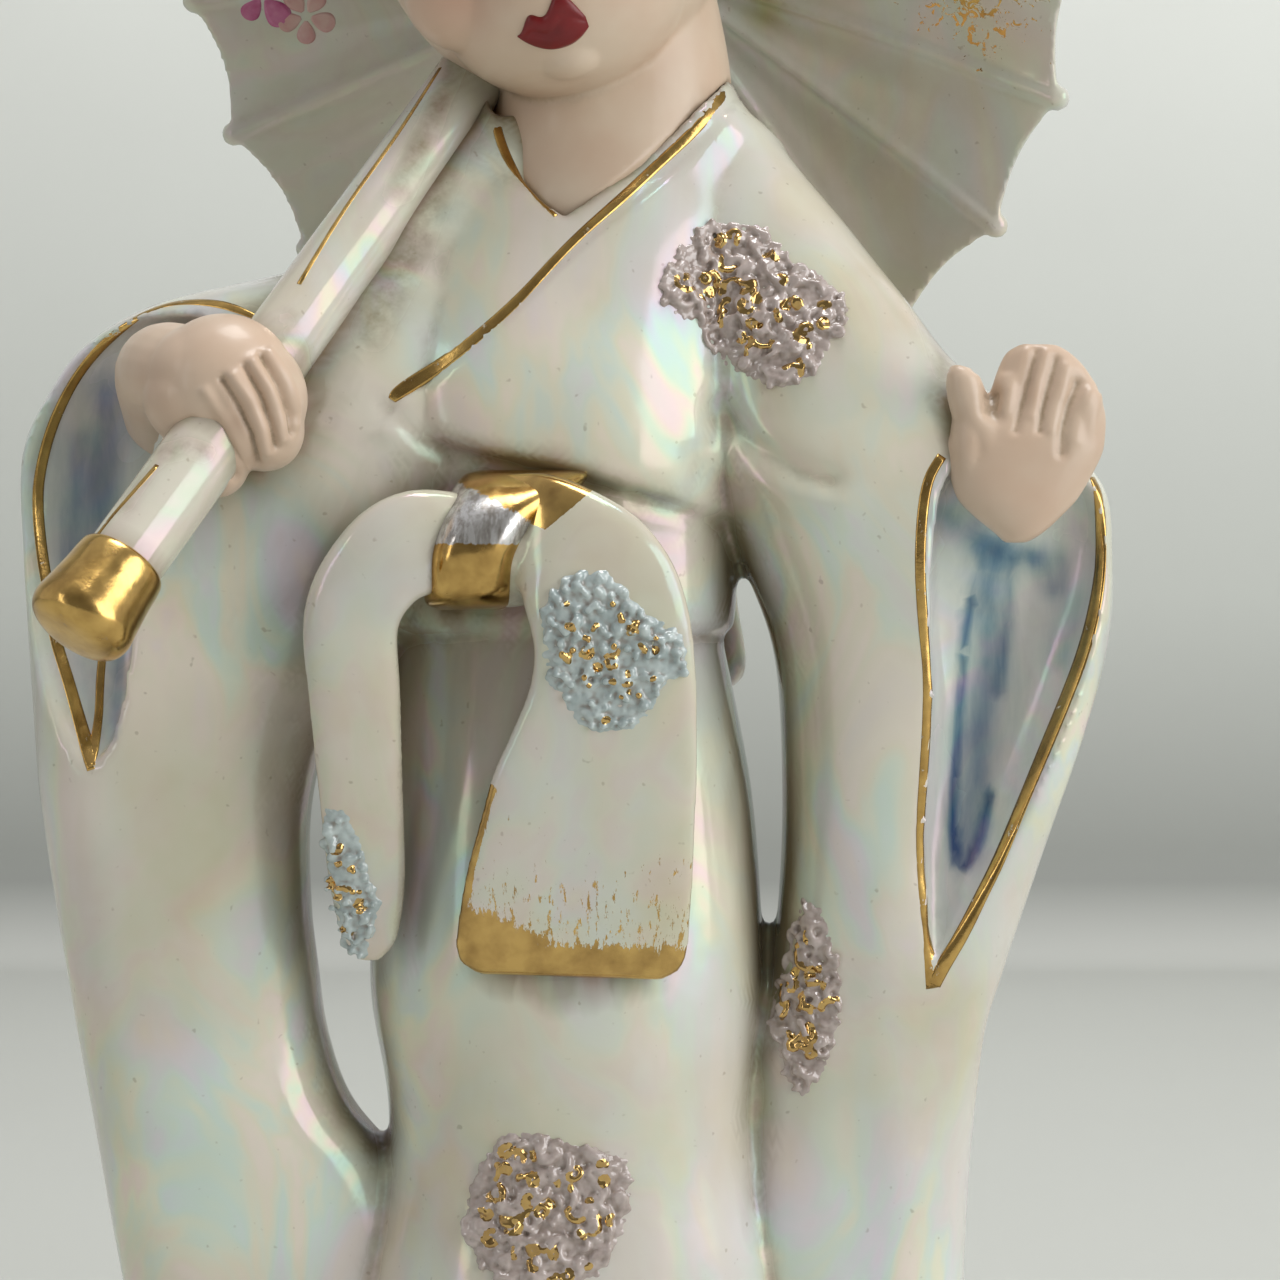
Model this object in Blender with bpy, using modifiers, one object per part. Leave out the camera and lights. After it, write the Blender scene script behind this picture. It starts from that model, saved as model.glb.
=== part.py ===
"""Glazed porcelain figurine of a standing geisha with an open parasol over the shoulder.

One casting, flat at the base. X runs to the viewer's right, Y away from the viewer, Z up.
The origin is on the table, under the middle of the figure. All sizes are in metres.
"""
import math

import bmesh
import bpy
import numpy as np
from mathutils import Matrix, Vector

# Heights of the standing body
HEM_HEIGHT = 0.004
KNEE_HEIGHT = 0.052
HIP_HEIGHT = 0.098
WAIST_HEIGHT = 0.128
CHEST_HEIGHT = 0.152
SHOULDER_HEIGHT = 0.171
COLLAR_RISE = 0.012
COLLAR_HEIGHT = SHOULDER_HEIGHT + COLLAR_RISE

# Half widths and half depths of the body at those heights
HEM_HALF_WIDTH = 0.0380
HEM_HALF_DEPTH = 0.0280
KNEE_HALF_WIDTH = 0.0226
KNEE_HALF_DEPTH = 0.0195
HIP_HALF_WIDTH = 0.0223
HIP_HALF_DEPTH = 0.0187
WAIST_HALF_WIDTH = 0.0196
WAIST_HALF_DEPTH = 0.0168
CHEST_HALF_WIDTH = 0.0235
CHEST_HALF_DEPTH = 0.0180
SHOULDER_HALF_WIDTH = 0.0225
SHOULDER_HALF_DEPTH = 0.0135
NECK_RADIUS = 0.0138
NECK_X = 0.0028

# Head and hair
HEAD_RADIUS = 0.0208
HEAD_HEIGHT_RADIUS = 0.0220
HEAD_RISE = 0.0182
HEAD_SHIFT_X = -0.0068
HEAD_SHIFT_Y = -0.0060
HEAD_TILT = math.radians(-15)
HEAD_NOD = math.radians(8)
JAW_RADIUS = 0.0148
HAIR_RADIUS = 0.0232
HAIR_RISE = 0.0110
HAIR_BACK = 0.0055
BUN_RADIUS = 0.0120
NOSE_RADIUS = 0.0021

# Sash and the blouse that hangs over it
OBI_THICKNESS = 0.0012
OBI_HALF_HEIGHT = 0.0120
BLOUSE_OVERHANG = 0.0034
BLOUSE_EDGE_SLOPE = -0.25
LAPEL_RADIUS = 0.0009
BOW_HALF_WIDTH = 0.0225
BOW_HALF_HEIGHT = 0.0145
BOW_HALF_DEPTH = 0.0090
KNOT_RADIUS = 0.0085
KNOT_DEPTH = 0.0075
TAIL_THICKNESS = 0.0036
TAIL_LENGTH = 0.0510

# Parasol
HANDLE_RADIUS = 0.0043
CAP_RADIUS = 0.0062
CAP_LENGTH = 0.0110
CANOPY_RADIUS = 0.0575
CANOPY_RISE = 0.0130
CANOPY_THICKNESS = 0.0024
CANOPY_RIBS = 20
RIB_HEIGHT = 0.0012
SCALLOP_DEPTH = 0.0020
RIB_TIP_RADIUS = 0.0016
HUB_RADIUS = 0.0065

# Hands
HAND_LENGTH = 0.0228
HAND_HALF_WIDTH = 0.0090
FINGER_RADIUS = 0.0019
THUMB_RADIUS = 0.0019
PALM_HALF_THICKNESS = 0.0036
WRIST_RADIUS = 0.0052

# Sleeves and their openings
RIGHT_REACH = 0.0622
LEFT_REACH = 0.0657
SLEEVE_LENGTH = 0.1570
SLEEVE_HALF_DEPTH = 0.0145
SLEEVE_SQUARENESS = 2.6
RECESS_DEPTH = 0.0065

# Fineness of the fused casting
VOXEL = 0.0010
GLAZE_SMOOTHING = 3
TRIANGLES = 11200
RING_POINTS = 48
SPAN_STEPS = 7

PORCELAIN = (0.72, 0.69, 0.61)


def clear_scene():
    for item in list(bpy.data.objects):
        bpy.data.objects.remove(item, do_unlink=True)


def collection(name):
    group = bpy.data.collections.new(name)
    bpy.context.scene.collection.children.link(group)
    return group


def material(name, colour, roughness, metallic):
    made = bpy.data.materials.new(name)
    made.use_nodes = True
    shader = made.node_tree.nodes["Principled BSDF"]
    shader.inputs["Base Color"].default_value = (*colour, 1.0)
    shader.inputs["Roughness"].default_value = roughness
    shader.inputs["Metallic"].default_value = metallic
    return made


def mesh_object(name, mesh, group):
    made = bpy.data.objects.new(name, mesh)
    group.objects.link(made)
    return made


def sideways(side):
    """A share of the reach of the right sleeve, or of the left one where it is negative."""
    return side * (RIGHT_REACH if side > 0 else LEFT_REACH)


def from_shoulder(side, front, down):
    """A place on an arm, a sleeve or the parasol, in shares of the sleeve's reach, half depth and length."""
    return Vector((sideways(side), -front * SLEEVE_HALF_DEPTH, SHOULDER_HEIGHT - down * SLEEVE_LENGTH))


def from_waist(side, front, down):
    """A place on the sash, in shares of the waist's half width and half depth and of the tail's length."""
    y = -(1 + front) * WAIST_HALF_DEPTH
    return Vector((side * WAIST_HALF_WIDTH, y, WAIST_HEIGHT - down * TAIL_LENGTH))


def smooth_rows(rows, steps, closed=False):
    """Rows of numbers, with rows between them on a smooth curve through all of them."""
    rows = np.array(rows, float)
    count = len(rows)
    last = count if closed else count - 1
    result = []
    for index in range(last):
        if closed:
            before, start, end, after = (rows[(index + k) % count] for k in (-1, 0, 1, 2))
        else:
            start, end = rows[index], rows[index + 1]
            before = rows[index - 1] if index else 2 * start - end
            after = rows[index + 2] if index + 2 < count else 2 * end - start
        for step in range(steps):
            t = step / steps
            result.append(0.5 * (2 * start + (end - before) * t
                                 + (2 * before - 5 * start + 4 * end - after) * t ** 2
                                 + (3 * start - before - 3 * end + after) * t ** 3))
    if not closed:
        result.append(rows[-1])
    return np.array(result)


def skin_rings(name, rings, group):
    """A closed solid through rings of points, each ring with the same number of points."""
    body = bmesh.new()
    levels = [[body.verts.new(point) for point in ring] for ring in rings]
    count = len(levels[0])
    for lower, upper in zip(levels, levels[1:]):
        for index in range(count):
            after = (index + 1) % count
            body.faces.new((lower[index], lower[after], upper[after], upper[index]))
    body.faces.new(reversed(levels[0]))
    body.faces.new(levels[-1])
    bmesh.ops.recalc_face_normals(body, faces=body.faces)
    mesh = bpy.data.meshes.new(name)
    body.to_mesh(mesh)
    body.free()
    return mesh_object(name, mesh, group)


def oval(centre, across, along, squareness):
    """A ring around centre with the two half axes given as vectors."""
    points = []
    for index in range(RING_POINTS):
        angle = 2 * math.pi * index / RING_POINTS
        c, s = math.cos(angle), math.sin(angle)
        u = math.copysign(abs(c) ** (2 / squareness), c)
        v = math.copysign(abs(s) ** (2 / squareness), s)
        points.append(centre + across * u + along * v)
    return points


def upright_loft(name, rows, squareness, group):
    """A solid through ovals: height, x of the middle, half width, y of the middle, half depth, slope."""
    rings = []
    rows = [row if len(row) == 6 else (*row, 0.0) for row in rows]
    for z, x, half_width, y, half_depth, slope in smooth_rows(rows, SPAN_STEPS):
        rings.append(oval(Vector((x, y, z)), Vector((half_width, 0, slope * half_width)),
                          Vector((0, half_depth, 0)), squareness))
    return skin_rings(name, rings, group)


def ribbon(name, rows, squareness, group):
    """A flat band along a path that bends in the upright plane: x, y, z, half width, half thickness."""
    rows = smooth_rows(rows, SPAN_STEPS)
    rings = []
    for index, (x, y, z, half_width, half_thickness) in enumerate(rows):
        ahead = rows[min(index + 1, len(rows) - 1)][:3]
        behind = rows[max(index - 1, 0)][:3]
        along = Vector(ahead - behind).normalized()
        across = along.cross(Vector((0, 1, 0))).normalized()
        outward = across.cross(along).normalized()
        rings.append(oval(Vector((x, y, z)), across * half_width, outward * half_thickness, squareness))
    return skin_rings(name, rings, group)


def tube(name, points, radii, group):
    """A round bar through points, with its own radius at each point."""
    curve = bpy.data.curves.new(name, "CURVE")
    curve.dimensions = "3D"
    curve.bevel_depth = 1.0
    curve.bevel_resolution = 4
    curve.use_fill_caps = True
    rows = smooth_rows([(*point, radius) for point, radius in zip(points, radii)], SPAN_STEPS)
    spline = curve.splines.new("POLY")
    spline.points.add(len(rows) - 1)
    for point, (x, y, z, radius) in zip(spline.points, rows):
        point.co = (x, y, z, 1.0)
        point.radius = radius
    guide = mesh_object(name + "_line", curve, group)
    bpy.context.view_layer.update()
    evaluated = guide.evaluated_get(bpy.context.evaluated_depsgraph_get())
    mesh = bpy.data.meshes.new_from_object(evaluated)
    placed = guide.matrix_world.copy()
    bpy.data.objects.remove(guide, do_unlink=True)
    body = bmesh.new()
    body.from_mesh(mesh)
    bmesh.ops.remove_doubles(body, verts=body.verts, dist=1e-7)
    body.to_mesh(mesh)
    body.free()
    made = mesh_object(name, mesh, group)
    made.matrix_world = placed
    return made


def ellipsoid(name, centre, radii, group, turn=None):
    body = bmesh.new()
    bmesh.ops.create_uvsphere(body, u_segments=40, v_segments=24, radius=1.0)
    placed = Matrix.Diagonal((*radii, 1.0))
    if turn is not None:
        placed = turn @ placed
    bmesh.ops.transform(body, matrix=Matrix.Translation(centre) @ placed, verts=body.verts)
    mesh = bpy.data.meshes.new(name)
    body.to_mesh(mesh)
    body.free()
    return mesh_object(name, mesh, group)


def make_body(group):
    """Skirt, torso and neck in one column, flared at the hem."""
    rows = (
        (-0.5 * HEM_HEIGHT, -0.0030, HEM_HALF_WIDTH, 0.0010, HEM_HALF_DEPTH),
        (HEM_HEIGHT, -0.0030, HEM_HALF_WIDTH, 0.0010, HEM_HALF_DEPTH),
        (0.3 * KNEE_HEIGHT, -0.0028, 0.5 * HEM_HALF_WIDTH + 0.6 * KNEE_HALF_WIDTH,
         0.0010, 0.5 * (HEM_HALF_DEPTH + KNEE_HALF_DEPTH)),
        (KNEE_HEIGHT, -0.0013, KNEE_HALF_WIDTH, 0.0, KNEE_HALF_DEPTH),
        (0.5 * (KNEE_HEIGHT + HIP_HEIGHT), -0.0021, KNEE_HALF_WIDTH + 0.0010, 0.0, KNEE_HALF_DEPTH),
        (HIP_HEIGHT, -0.0024, HIP_HALF_WIDTH, 0.0, HIP_HALF_DEPTH),
        (WAIST_HEIGHT, -0.0045, WAIST_HALF_WIDTH, 0.0, WAIST_HALF_DEPTH),
        (CHEST_HEIGHT, -0.0025, CHEST_HALF_WIDTH, -0.0005, CHEST_HALF_DEPTH),
        (SHOULDER_HEIGHT, NECK_X, SHOULDER_HALF_WIDTH, 0.0015, SHOULDER_HALF_DEPTH),
        (COLLAR_HEIGHT, NECK_X, NECK_RADIUS + 0.0012, 0.0015, NECK_RADIUS),
        (COLLAR_HEIGHT + 0.6 * HEAD_RISE, NECK_X - 0.0020, NECK_RADIUS, 0.0, NECK_RADIUS),
    )
    return upright_loft("body", rows, 2.1, group)


def make_blouse(group):
    """The upper part of the robe, which hangs over the sash with a rolled, slanting edge."""
    edge = WAIST_HEIGHT + 0.0065
    width = WAIST_HALF_WIDTH + BLOUSE_OVERHANG
    depth = WAIST_HALF_DEPTH + BLOUSE_OVERHANG
    rows = (
        (edge + 0.0006, -0.0040, 0.80 * width, -0.0003, 0.80 * depth, BLOUSE_EDGE_SLOPE),
        (edge, -0.0040, 0.94 * width, -0.0003, 0.94 * depth, BLOUSE_EDGE_SLOPE),
        (edge + 0.0022, -0.0040, width, -0.0005, depth, BLOUSE_EDGE_SLOPE),
        (CHEST_HEIGHT - 0.0040, -0.0030, CHEST_HALF_WIDTH, -0.0008, CHEST_HALF_DEPTH + 0.0014,
         0.5 * BLOUSE_EDGE_SLOPE),
        (SHOULDER_HEIGHT - 0.0060, 0.0, CHEST_HALF_WIDTH - 0.0020, 0.0, CHEST_HALF_DEPTH - 0.0030, 0.0),
        (SHOULDER_HEIGHT + 0.0040, NECK_X, 0.7 * SHOULDER_HALF_WIDTH, 0.0015, 0.7 * SHOULDER_HALF_DEPTH, 0.0),
    )
    return upright_loft("blouse", rows, 2.2, group)


def front_of(pieces, x, z):
    """The place on the front of the pieces at x and z, found from the viewer's side."""
    start = Vector((x, -0.2, z))
    hits = []
    for piece in pieces:
        met, place, _, _ = piece.ray_cast(start, Vector((0, 1, 0)))
        if met:
            hits.append(place)
    return min(hits, key=lambda place: place.y)


def lapel_height(share):
    """Up to the collar's top at 1, down to the widest part of the chest at -1."""
    return SHOULDER_HEIGHT + share * (COLLAR_RISE if share > 0 else SHOULDER_HEIGHT - CHEST_HEIGHT)


def make_lapels(robe, group):
    """The rolled edges of the crossed robe, lying on its front: places in neck radii and lapel heights."""
    right = ((0.95, 0.70), (0.70, 0.29), (0.39, -0.03), (0.09, -0.18), (-0.24, -0.36), (-0.64, -0.68),
             (-1.07, -1.03), (-1.69, -1.41))
    left = ((-0.90, 0.62), (-0.83, 0.25), (-0.67, -0.03), (-0.42, -0.23))
    pieces = []
    for name, line in (("right_lapel", right), ("left_lapel", left)):
        points = [front_of(robe, NECK_X + side * NECK_RADIUS, lapel_height(share)) for side, share in line]
        pieces.append(tube(name, points, [LAPEL_RADIUS] * len(points), group))
    return pieces


def make_obi(group):
    """The wide sash around the waist and the drum bow at the back."""
    rows = []
    for share, extra in ((-1.0, -0.5), (-0.8, 1.0), (0.8, 1.0), (1.0, -0.5)):
        rows.append((WAIST_HEIGHT + share * OBI_HALF_HEIGHT, -0.0040,
                     WAIST_HALF_WIDTH + (1 + extra) * OBI_THICKNESS, 0.0,
                     WAIST_HALF_DEPTH + extra * OBI_THICKNESS))
    band = upright_loft("obi", rows, 2.2, group)
    rows = []
    for share, width in ((-1.0, 0.75), (-0.75, 1.0), (0.0, 0.95), (0.75, 1.0), (1.0, 0.75)):
        rows.append((WAIST_HEIGHT - 0.0060 + share * BOW_HALF_HEIGHT, -0.0025, BOW_HALF_WIDTH * width,
                     WAIST_HALF_DEPTH + 0.2 * BOW_HALF_DEPTH, BOW_HALF_DEPTH * width))
    bow = upright_loft("bow", rows, 3.0, group)
    return [band, bow]


def sleeve_rows(rows):
    """Level ovals from shares: the way down, inner and outer edge, place forward and half depth."""
    result = []
    for down, inner, outer, front, depth in rows:
        middle = from_shoulder(0.5 * (inner + outer), front, down)
        half_width = 0.5 * abs(sideways(outer) - sideways(inner))
        result.append((middle.z, middle.x, half_width, middle.y, depth * SLEEVE_HALF_DEPTH))
    return result


def recess_cutter(name, rim, out, group):
    """A bowl under a closed rim line, open along the direction out."""
    rim = smooth_rows([tuple(point) for point in rim], 4, closed=True)
    middle = Vector(rim.mean(axis=0))
    rings = []
    for lift, spread in ((0.014, 1.10), (0.0, 1.0), (-0.35 * RECESS_DEPTH, 0.88),
                         (-0.8 * RECESS_DEPTH, 0.62), (-RECESS_DEPTH, 0.30)):
        rings.append([middle + (Vector(point) - middle) * spread + out * lift for point in rim])
    made = skin_rings(name, rings, group)
    made.hide_render = True
    made.display_type = "WIRE"
    return made


def cut(target, cutter):
    modifier = target.modifiers.new("cut", "BOOLEAN")
    modifier.operation = "DIFFERENCE"
    modifier.solver = "EXACT"
    modifier.object = cutter


def make_right_sleeve(group, cutters):
    """The sleeve on the viewer's right, from the shoulder to its rounded end."""
    rows = (
        (-0.038, 0.096, 0.346, -0.14, 0.55),
        (0.0, 0.096, 0.421, -0.10, 0.72),
        (0.045, 0.129, 0.511, -0.03, 0.86),
        (0.096, 0.161, 0.608, 0.07, 0.93),
        (0.146, 0.193, 0.701, 0.17, 0.97),
        (0.191, 0.209, 0.836, 0.24, 0.97),
        (0.236, 0.233, 0.977, 0.28, 1.00),
        (0.293, 0.297, 1.000, 0.28, 1.00),
        (0.357, 0.357, 0.995, 0.24, 0.97),
        (0.427, 0.376, 0.949, 0.21, 0.93),
        (0.510, 0.378, 0.878, 0.14, 0.86),
        (0.605, 0.357, 0.801, 0.07, 0.79),
        (0.675, 0.305, 0.759, 0.0, 0.76),
        (0.834, 0.273, 0.730, -0.03, 0.72),
        (0.924, 0.273, 0.748, -0.03, 0.72),
        (0.978, 0.305, 0.699, -0.03, 0.55),
        (1.000, 0.402, 0.603, -0.03, 0.24),
    )
    sleeve = upright_loft("right_sleeve", sleeve_rows(rows), SLEEVE_SQUARENESS, group)
    rim = [from_shoulder(*place) for place in (
        (0.672, 1.21, 0.226), (0.637, 1.26, 0.293), (0.640, 1.24, 0.357),
        (0.643, 1.17, 0.414), (0.633, 1.07, 0.500), (0.638, 0.98, 0.567),
        (0.650, 0.90, 0.605), (0.714, 0.81, 0.561), (0.804, 0.74, 0.484),
        (0.892, 0.69, 0.398), (0.952, 0.66, 0.312), (0.939, 0.72, 0.245),
        (0.820, 0.97, 0.220))]
    cutter = recess_cutter("right_recess", rim, Vector((0.46, -0.89, 0)).normalized(), cutters)
    cut(sleeve, cutter)
    return sleeve


def make_left_sleeve(group, cutters):
    """The sleeve on the viewer's left, hanging from the forearm that holds the parasol."""
    rows = (
        (-0.038, -0.228, -0.015, -0.07, 0.55),
        (0.006, -0.320, -0.030, 0.0, 0.72),
        (0.051, -0.434, -0.061, 0.07, 0.86),
        (0.080, -0.533, -0.076, 0.14, 0.86),
        (0.105, -0.761, -0.091, 0.31, 0.86),
        (0.134, -0.883, -0.107, 0.38, 0.90),
        (0.166, -0.944, -0.122, 0.41, 0.93),
        (0.217, -0.998, -0.152, 0.41, 0.97),
        (0.293, -1.000, -0.213, 0.34, 1.00),
        (0.357, -0.991, -0.335, 0.31, 0.97),
        (0.414, -0.983, -0.449, 0.28, 0.93),
        (0.478, -0.974, -0.495, 0.21, 0.90),
        (0.554, -0.951, -0.499, 0.14, 0.86),
        (0.605, -0.932, -0.487, 0.10, 0.83),
        (0.656, -0.913, -0.469, 0.07, 0.79),
        (0.707, -0.893, -0.426, 0.03, 0.79),
        (0.758, -0.874, -0.335, 0.0, 0.76),
        (0.834, -0.843, -0.289, -0.03, 0.76),
        (0.924, -0.807, -0.274, -0.03, 0.72),
        (0.978, -0.761, -0.335, -0.03, 0.55),
        (1.000, -0.670, -0.426, -0.03, 0.24),
    )
    sleeve = upright_loft("left_sleeve", sleeve_rows(rows), SLEEVE_SQUARENESS, group)
    rim = [from_shoulder(*place) for place in (
        (-0.594, 1.10, 0.131), (-0.715, 0.83, 0.118), (-0.837, 0.69, 0.139),
        (-0.913, 0.66, 0.178), (-0.962, 0.62, 0.236), (-0.967, 0.62, 0.293),
        (-0.944, 0.72, 0.357), (-0.904, 0.90, 0.414), (-0.852, 1.10, 0.455),
        (-0.799, 1.24, 0.401), (-0.776, 1.31, 0.318), (-0.761, 1.34, 0.248),
        (-0.700, 1.31, 0.178))]
    cutter = recess_cutter("left_recess", rim, Vector((-0.68, -0.73, 0)).normalized(), cutters)
    cut(sleeve, cutter)
    return sleeve


def handle_point(share):
    """A place on the straight parasol handle: 0 at the cap's middle, 1 beside the neck."""
    low = from_shoulder(-0.776, 2.62, 0.329)
    high = from_shoulder(-0.213, 0.14, -0.066)
    return low.lerp(high, share)


def canopy_frame():
    """The canopy's middle and its three directions: right, up and back along the axis."""
    middle = from_shoulder(0.064, -1.31, -0.181)
    back = Vector((0.20, 0.90, 0.39)).normalized()
    up = (Vector((0, 0, 1)) - back * back.z).normalized()
    return middle, back.cross(up), up, back


def canopy_point(ring, angle):
    """A place on the canopy's inner face: ring 0 at the hub, 1 at the rim."""
    middle, right, up, back = canopy_frame()
    phase = (angle * CANOPY_RIBS / (2 * math.pi)) % 1.0
    between = math.sin(math.pi * phase)
    radius = ring * (CANOPY_RADIUS - SCALLOP_DEPTH * between * ring ** 6)
    depth = CANOPY_RISE * (1 - ring ** 2) + RIB_HEIGHT * between * min(1.0, 3 * ring)
    return middle + (right * math.cos(angle) + up * math.sin(angle)) * radius + back * depth


def make_parasol(group):
    """Handle, gold end cap, hub and the shallow ribbed canopy with a scalloped rim."""
    pieces = [tube("handle", [handle_point(share) for share in (0.0, 0.5, 1.0, 1.35)],
                   [HANDLE_RADIUS] * 4, group)]
    run = handle_point(1) - handle_point(0)
    along = run.normalized()
    cap_start = handle_point(0) - along * 0.5 * CAP_LENGTH
    profile = ((0.0, 0.80), (0.06, 0.97), (0.30, 1.0), (0.85, 0.93), (1.0, 0.74))
    pieces.append(tube("cap", [cap_start + along * CAP_LENGTH * share for share, width in profile],
                       [CAP_RADIUS * width for share, width in profile], group))
    steps_round = CANOPY_RIBS * 8
    rings = 18
    body = bmesh.new()
    hub = body.verts.new(canopy_point(0.0, 0.0))
    levels = []
    for level in range(1, rings + 1):
        levels.append([body.verts.new(canopy_point(level / rings, 2 * math.pi * step / steps_round))
                       for step in range(steps_round)])
    for step in range(steps_round):
        after = (step + 1) % steps_round
        body.faces.new((hub, levels[0][step], levels[0][after]))
        for inner, outer in zip(levels, levels[1:]):
            body.faces.new((inner[step], outer[step], outer[after], inner[after]))
    mesh = bpy.data.meshes.new("canopy")
    body.to_mesh(mesh)
    body.free()
    canopy = mesh_object("canopy", mesh, group)
    wall = canopy.modifiers.new("wall", "SOLIDIFY")
    wall.thickness = CANOPY_THICKNESS
    wall.offset = 0.0
    pieces.append(canopy)
    for rib in range(CANOPY_RIBS):
        tip = canopy_point(1.0, 2 * math.pi * rib / CANOPY_RIBS)
        pieces.append(ellipsoid("rib_tip", tip, [RIB_TIP_RADIUS] * 3, group))
    back = canopy_frame()[3]
    hub_end = canopy_point(0.0, 0.0)
    nape = head_centre() + Vector((0, 0.4 * HEAD_RADIUS, 0))
    pieces.append(tube("hub", [nape, nape.lerp(hub_end, 0.6), hub_end + back * 0.001],
                       [HUB_RADIUS * 1.4, HUB_RADIUS, HUB_RADIUS * 0.8], group))
    return pieces


def head_centre():
    return Vector((NECK_X + HEAD_SHIFT_X, HEAD_SHIFT_Y, COLLAR_HEIGHT + HEAD_RISE))


def make_head(group):
    """The tilted, slightly bowed head, with swept-up hair and a bun."""
    turn = Matrix.Rotation(HEAD_TILT, 4, "Y") @ Matrix.Rotation(HEAD_NOD, 4, "X")
    middle = head_centre()
    pieces = [ellipsoid("head", middle, (HEAD_RADIUS, 0.97 * HEAD_RADIUS, HEAD_HEIGHT_RADIUS), group, turn)]
    jaw = middle + turn @ Vector((0, -0.32 * HEAD_RADIUS, -0.45 * HEAD_HEIGHT_RADIUS))
    pieces.append(ellipsoid("jaw", jaw, (JAW_RADIUS, 0.92 * JAW_RADIUS, 0.82 * JAW_RADIUS), group, turn))
    nose = middle + turn @ Vector((0, -HEAD_RADIUS, -0.33 * HEAD_RADIUS))
    pieces.append(ellipsoid("nose", nose, (NOSE_RADIUS, 0.9 * NOSE_RADIUS, 1.5 * NOSE_RADIUS), group, turn))
    hair = middle + turn @ Vector((0, HAIR_BACK, HAIR_RISE))
    pieces.append(ellipsoid("hair", hair, (HAIR_RADIUS, 0.86 * HAIR_RADIUS, 0.84 * HAIR_RADIUS), group, turn))
    bun = hair + turn @ Vector((0, 0.03 * HAIR_RADIUS, 0.86 * HAIR_RADIUS))
    pieces.append(ellipsoid("bun", bun, (BUN_RADIUS, 0.9 * BUN_RADIUS, 0.65 * BUN_RADIUS), group, turn))
    return pieces


def make_sash(group):
    """The knot in front of the waist with one narrow and one broad tail."""
    knot = from_waist(-0.42, 0.36, 0.024)
    pieces = [ellipsoid("knot", knot, (KNOT_RADIUS, KNOT_DEPTH, 0.92 * KNOT_RADIUS), group)]
    half = 0.5 * TAIL_THICKNESS
    left = (
        (-0.61, 0.42, 0.039, 0.27, 1.3), (-0.93, 0.55, 0.043, 0.30, 1.3),
        (-1.15, 0.57, 0.102, 0.28, 1.2), (-1.29, 0.52, 0.208, 0.27, 1.1),
        (-1.28, 0.42, 0.373, 0.26, 1.0), (-1.26, 0.24, 0.588, 0.24, 1.0),
        (-1.24, 0.06, 0.784, 0.22, 1.0), (-1.23, -0.03, 0.912, 0.16, 0.9),
        (-1.23, -0.05, 0.965, 0.06, 0.5))
    right = (
        (-0.41, 0.42, 0.059, 0.28, 1.3), (-0.18, 0.60, 0.055, 0.39, 1.3),
        (0.04, 0.67, 0.137, 0.45, 1.2), (0.18, 0.62, 0.271, 0.49, 1.1),
        (0.11, 0.52, 0.467, 0.55, 1.0), (0.04, 0.43, 0.598, 0.61, 1.0),
        (-0.02, 0.31, 0.751, 0.66, 1.0), (-0.06, 0.22, 0.902, 0.67, 1.0),
        (-0.07, 0.20, 0.969, 0.57, 0.9), (-0.08, 0.20, 1.000, 0.31, 0.6))
    for name, rows in (("left_tail", left), ("right_tail", right)):
        placed = [(*from_waist(side, front, down), width * WAIST_HALF_WIDTH, half * swell)
                  for side, front, down, width, swell in rows]
        pieces.append(ribbon(name, placed, 2.6, group))
    return pieces


def make_gripping_hand(group):
    """The hand on the viewer's left, closed around the parasol handle."""
    grip = handle_point(0.337)
    wrist = [from_shoulder(-0.731, 0.55, 0.191), grip + Vector((-0.0075, 0.0060, 0.0020)),
             grip + Vector((-0.0030, -0.0005, 0.0010))]
    pieces = [tube("left_wrist", wrist, [WRIST_RADIUS] * 3, group)]
    pieces.append(ellipsoid("left_hand", grip + Vector((-0.0028, -0.0020, 0.0015)),
                            (0.0072, 0.0052, 0.0082), group, Matrix.Rotation(math.radians(30), 4, "Y")))
    along = (handle_point(1) - handle_point(0)).normalized()
    pitch = 1.38 * FINGER_RADIUS
    for finger in range(4):
        root = grip + along * pitch * (1.6 - finger)
        reach = HANDLE_RADIUS + 0.35 * FINGER_RADIUS
        points = [root + Vector((-0.0030, -0.0042, 0.0022)),
                  root + Vector((0.0005, -reach - 0.0004, 0.0004)),
                  root + Vector((0.0040, -0.72 * reach, -0.0030)),
                  root + Vector((0.0052, -0.05 * reach, -0.0046))]
        pieces.append(tube("finger", points, [FINGER_RADIUS, FINGER_RADIUS, 0.95 * FINGER_RADIUS,
                                              0.8 * FINGER_RADIUS], group))
    return pieces


def hand_place(side, front, up):
    """A place on the raised hand: shares of its half width and length, and metres towards the viewer."""
    heel = from_shoulder(0.812, 1.19, 0.285)
    return heel + Vector((side * HAND_HALF_WIDTH, -front, up * HAND_LENGTH))


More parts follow.
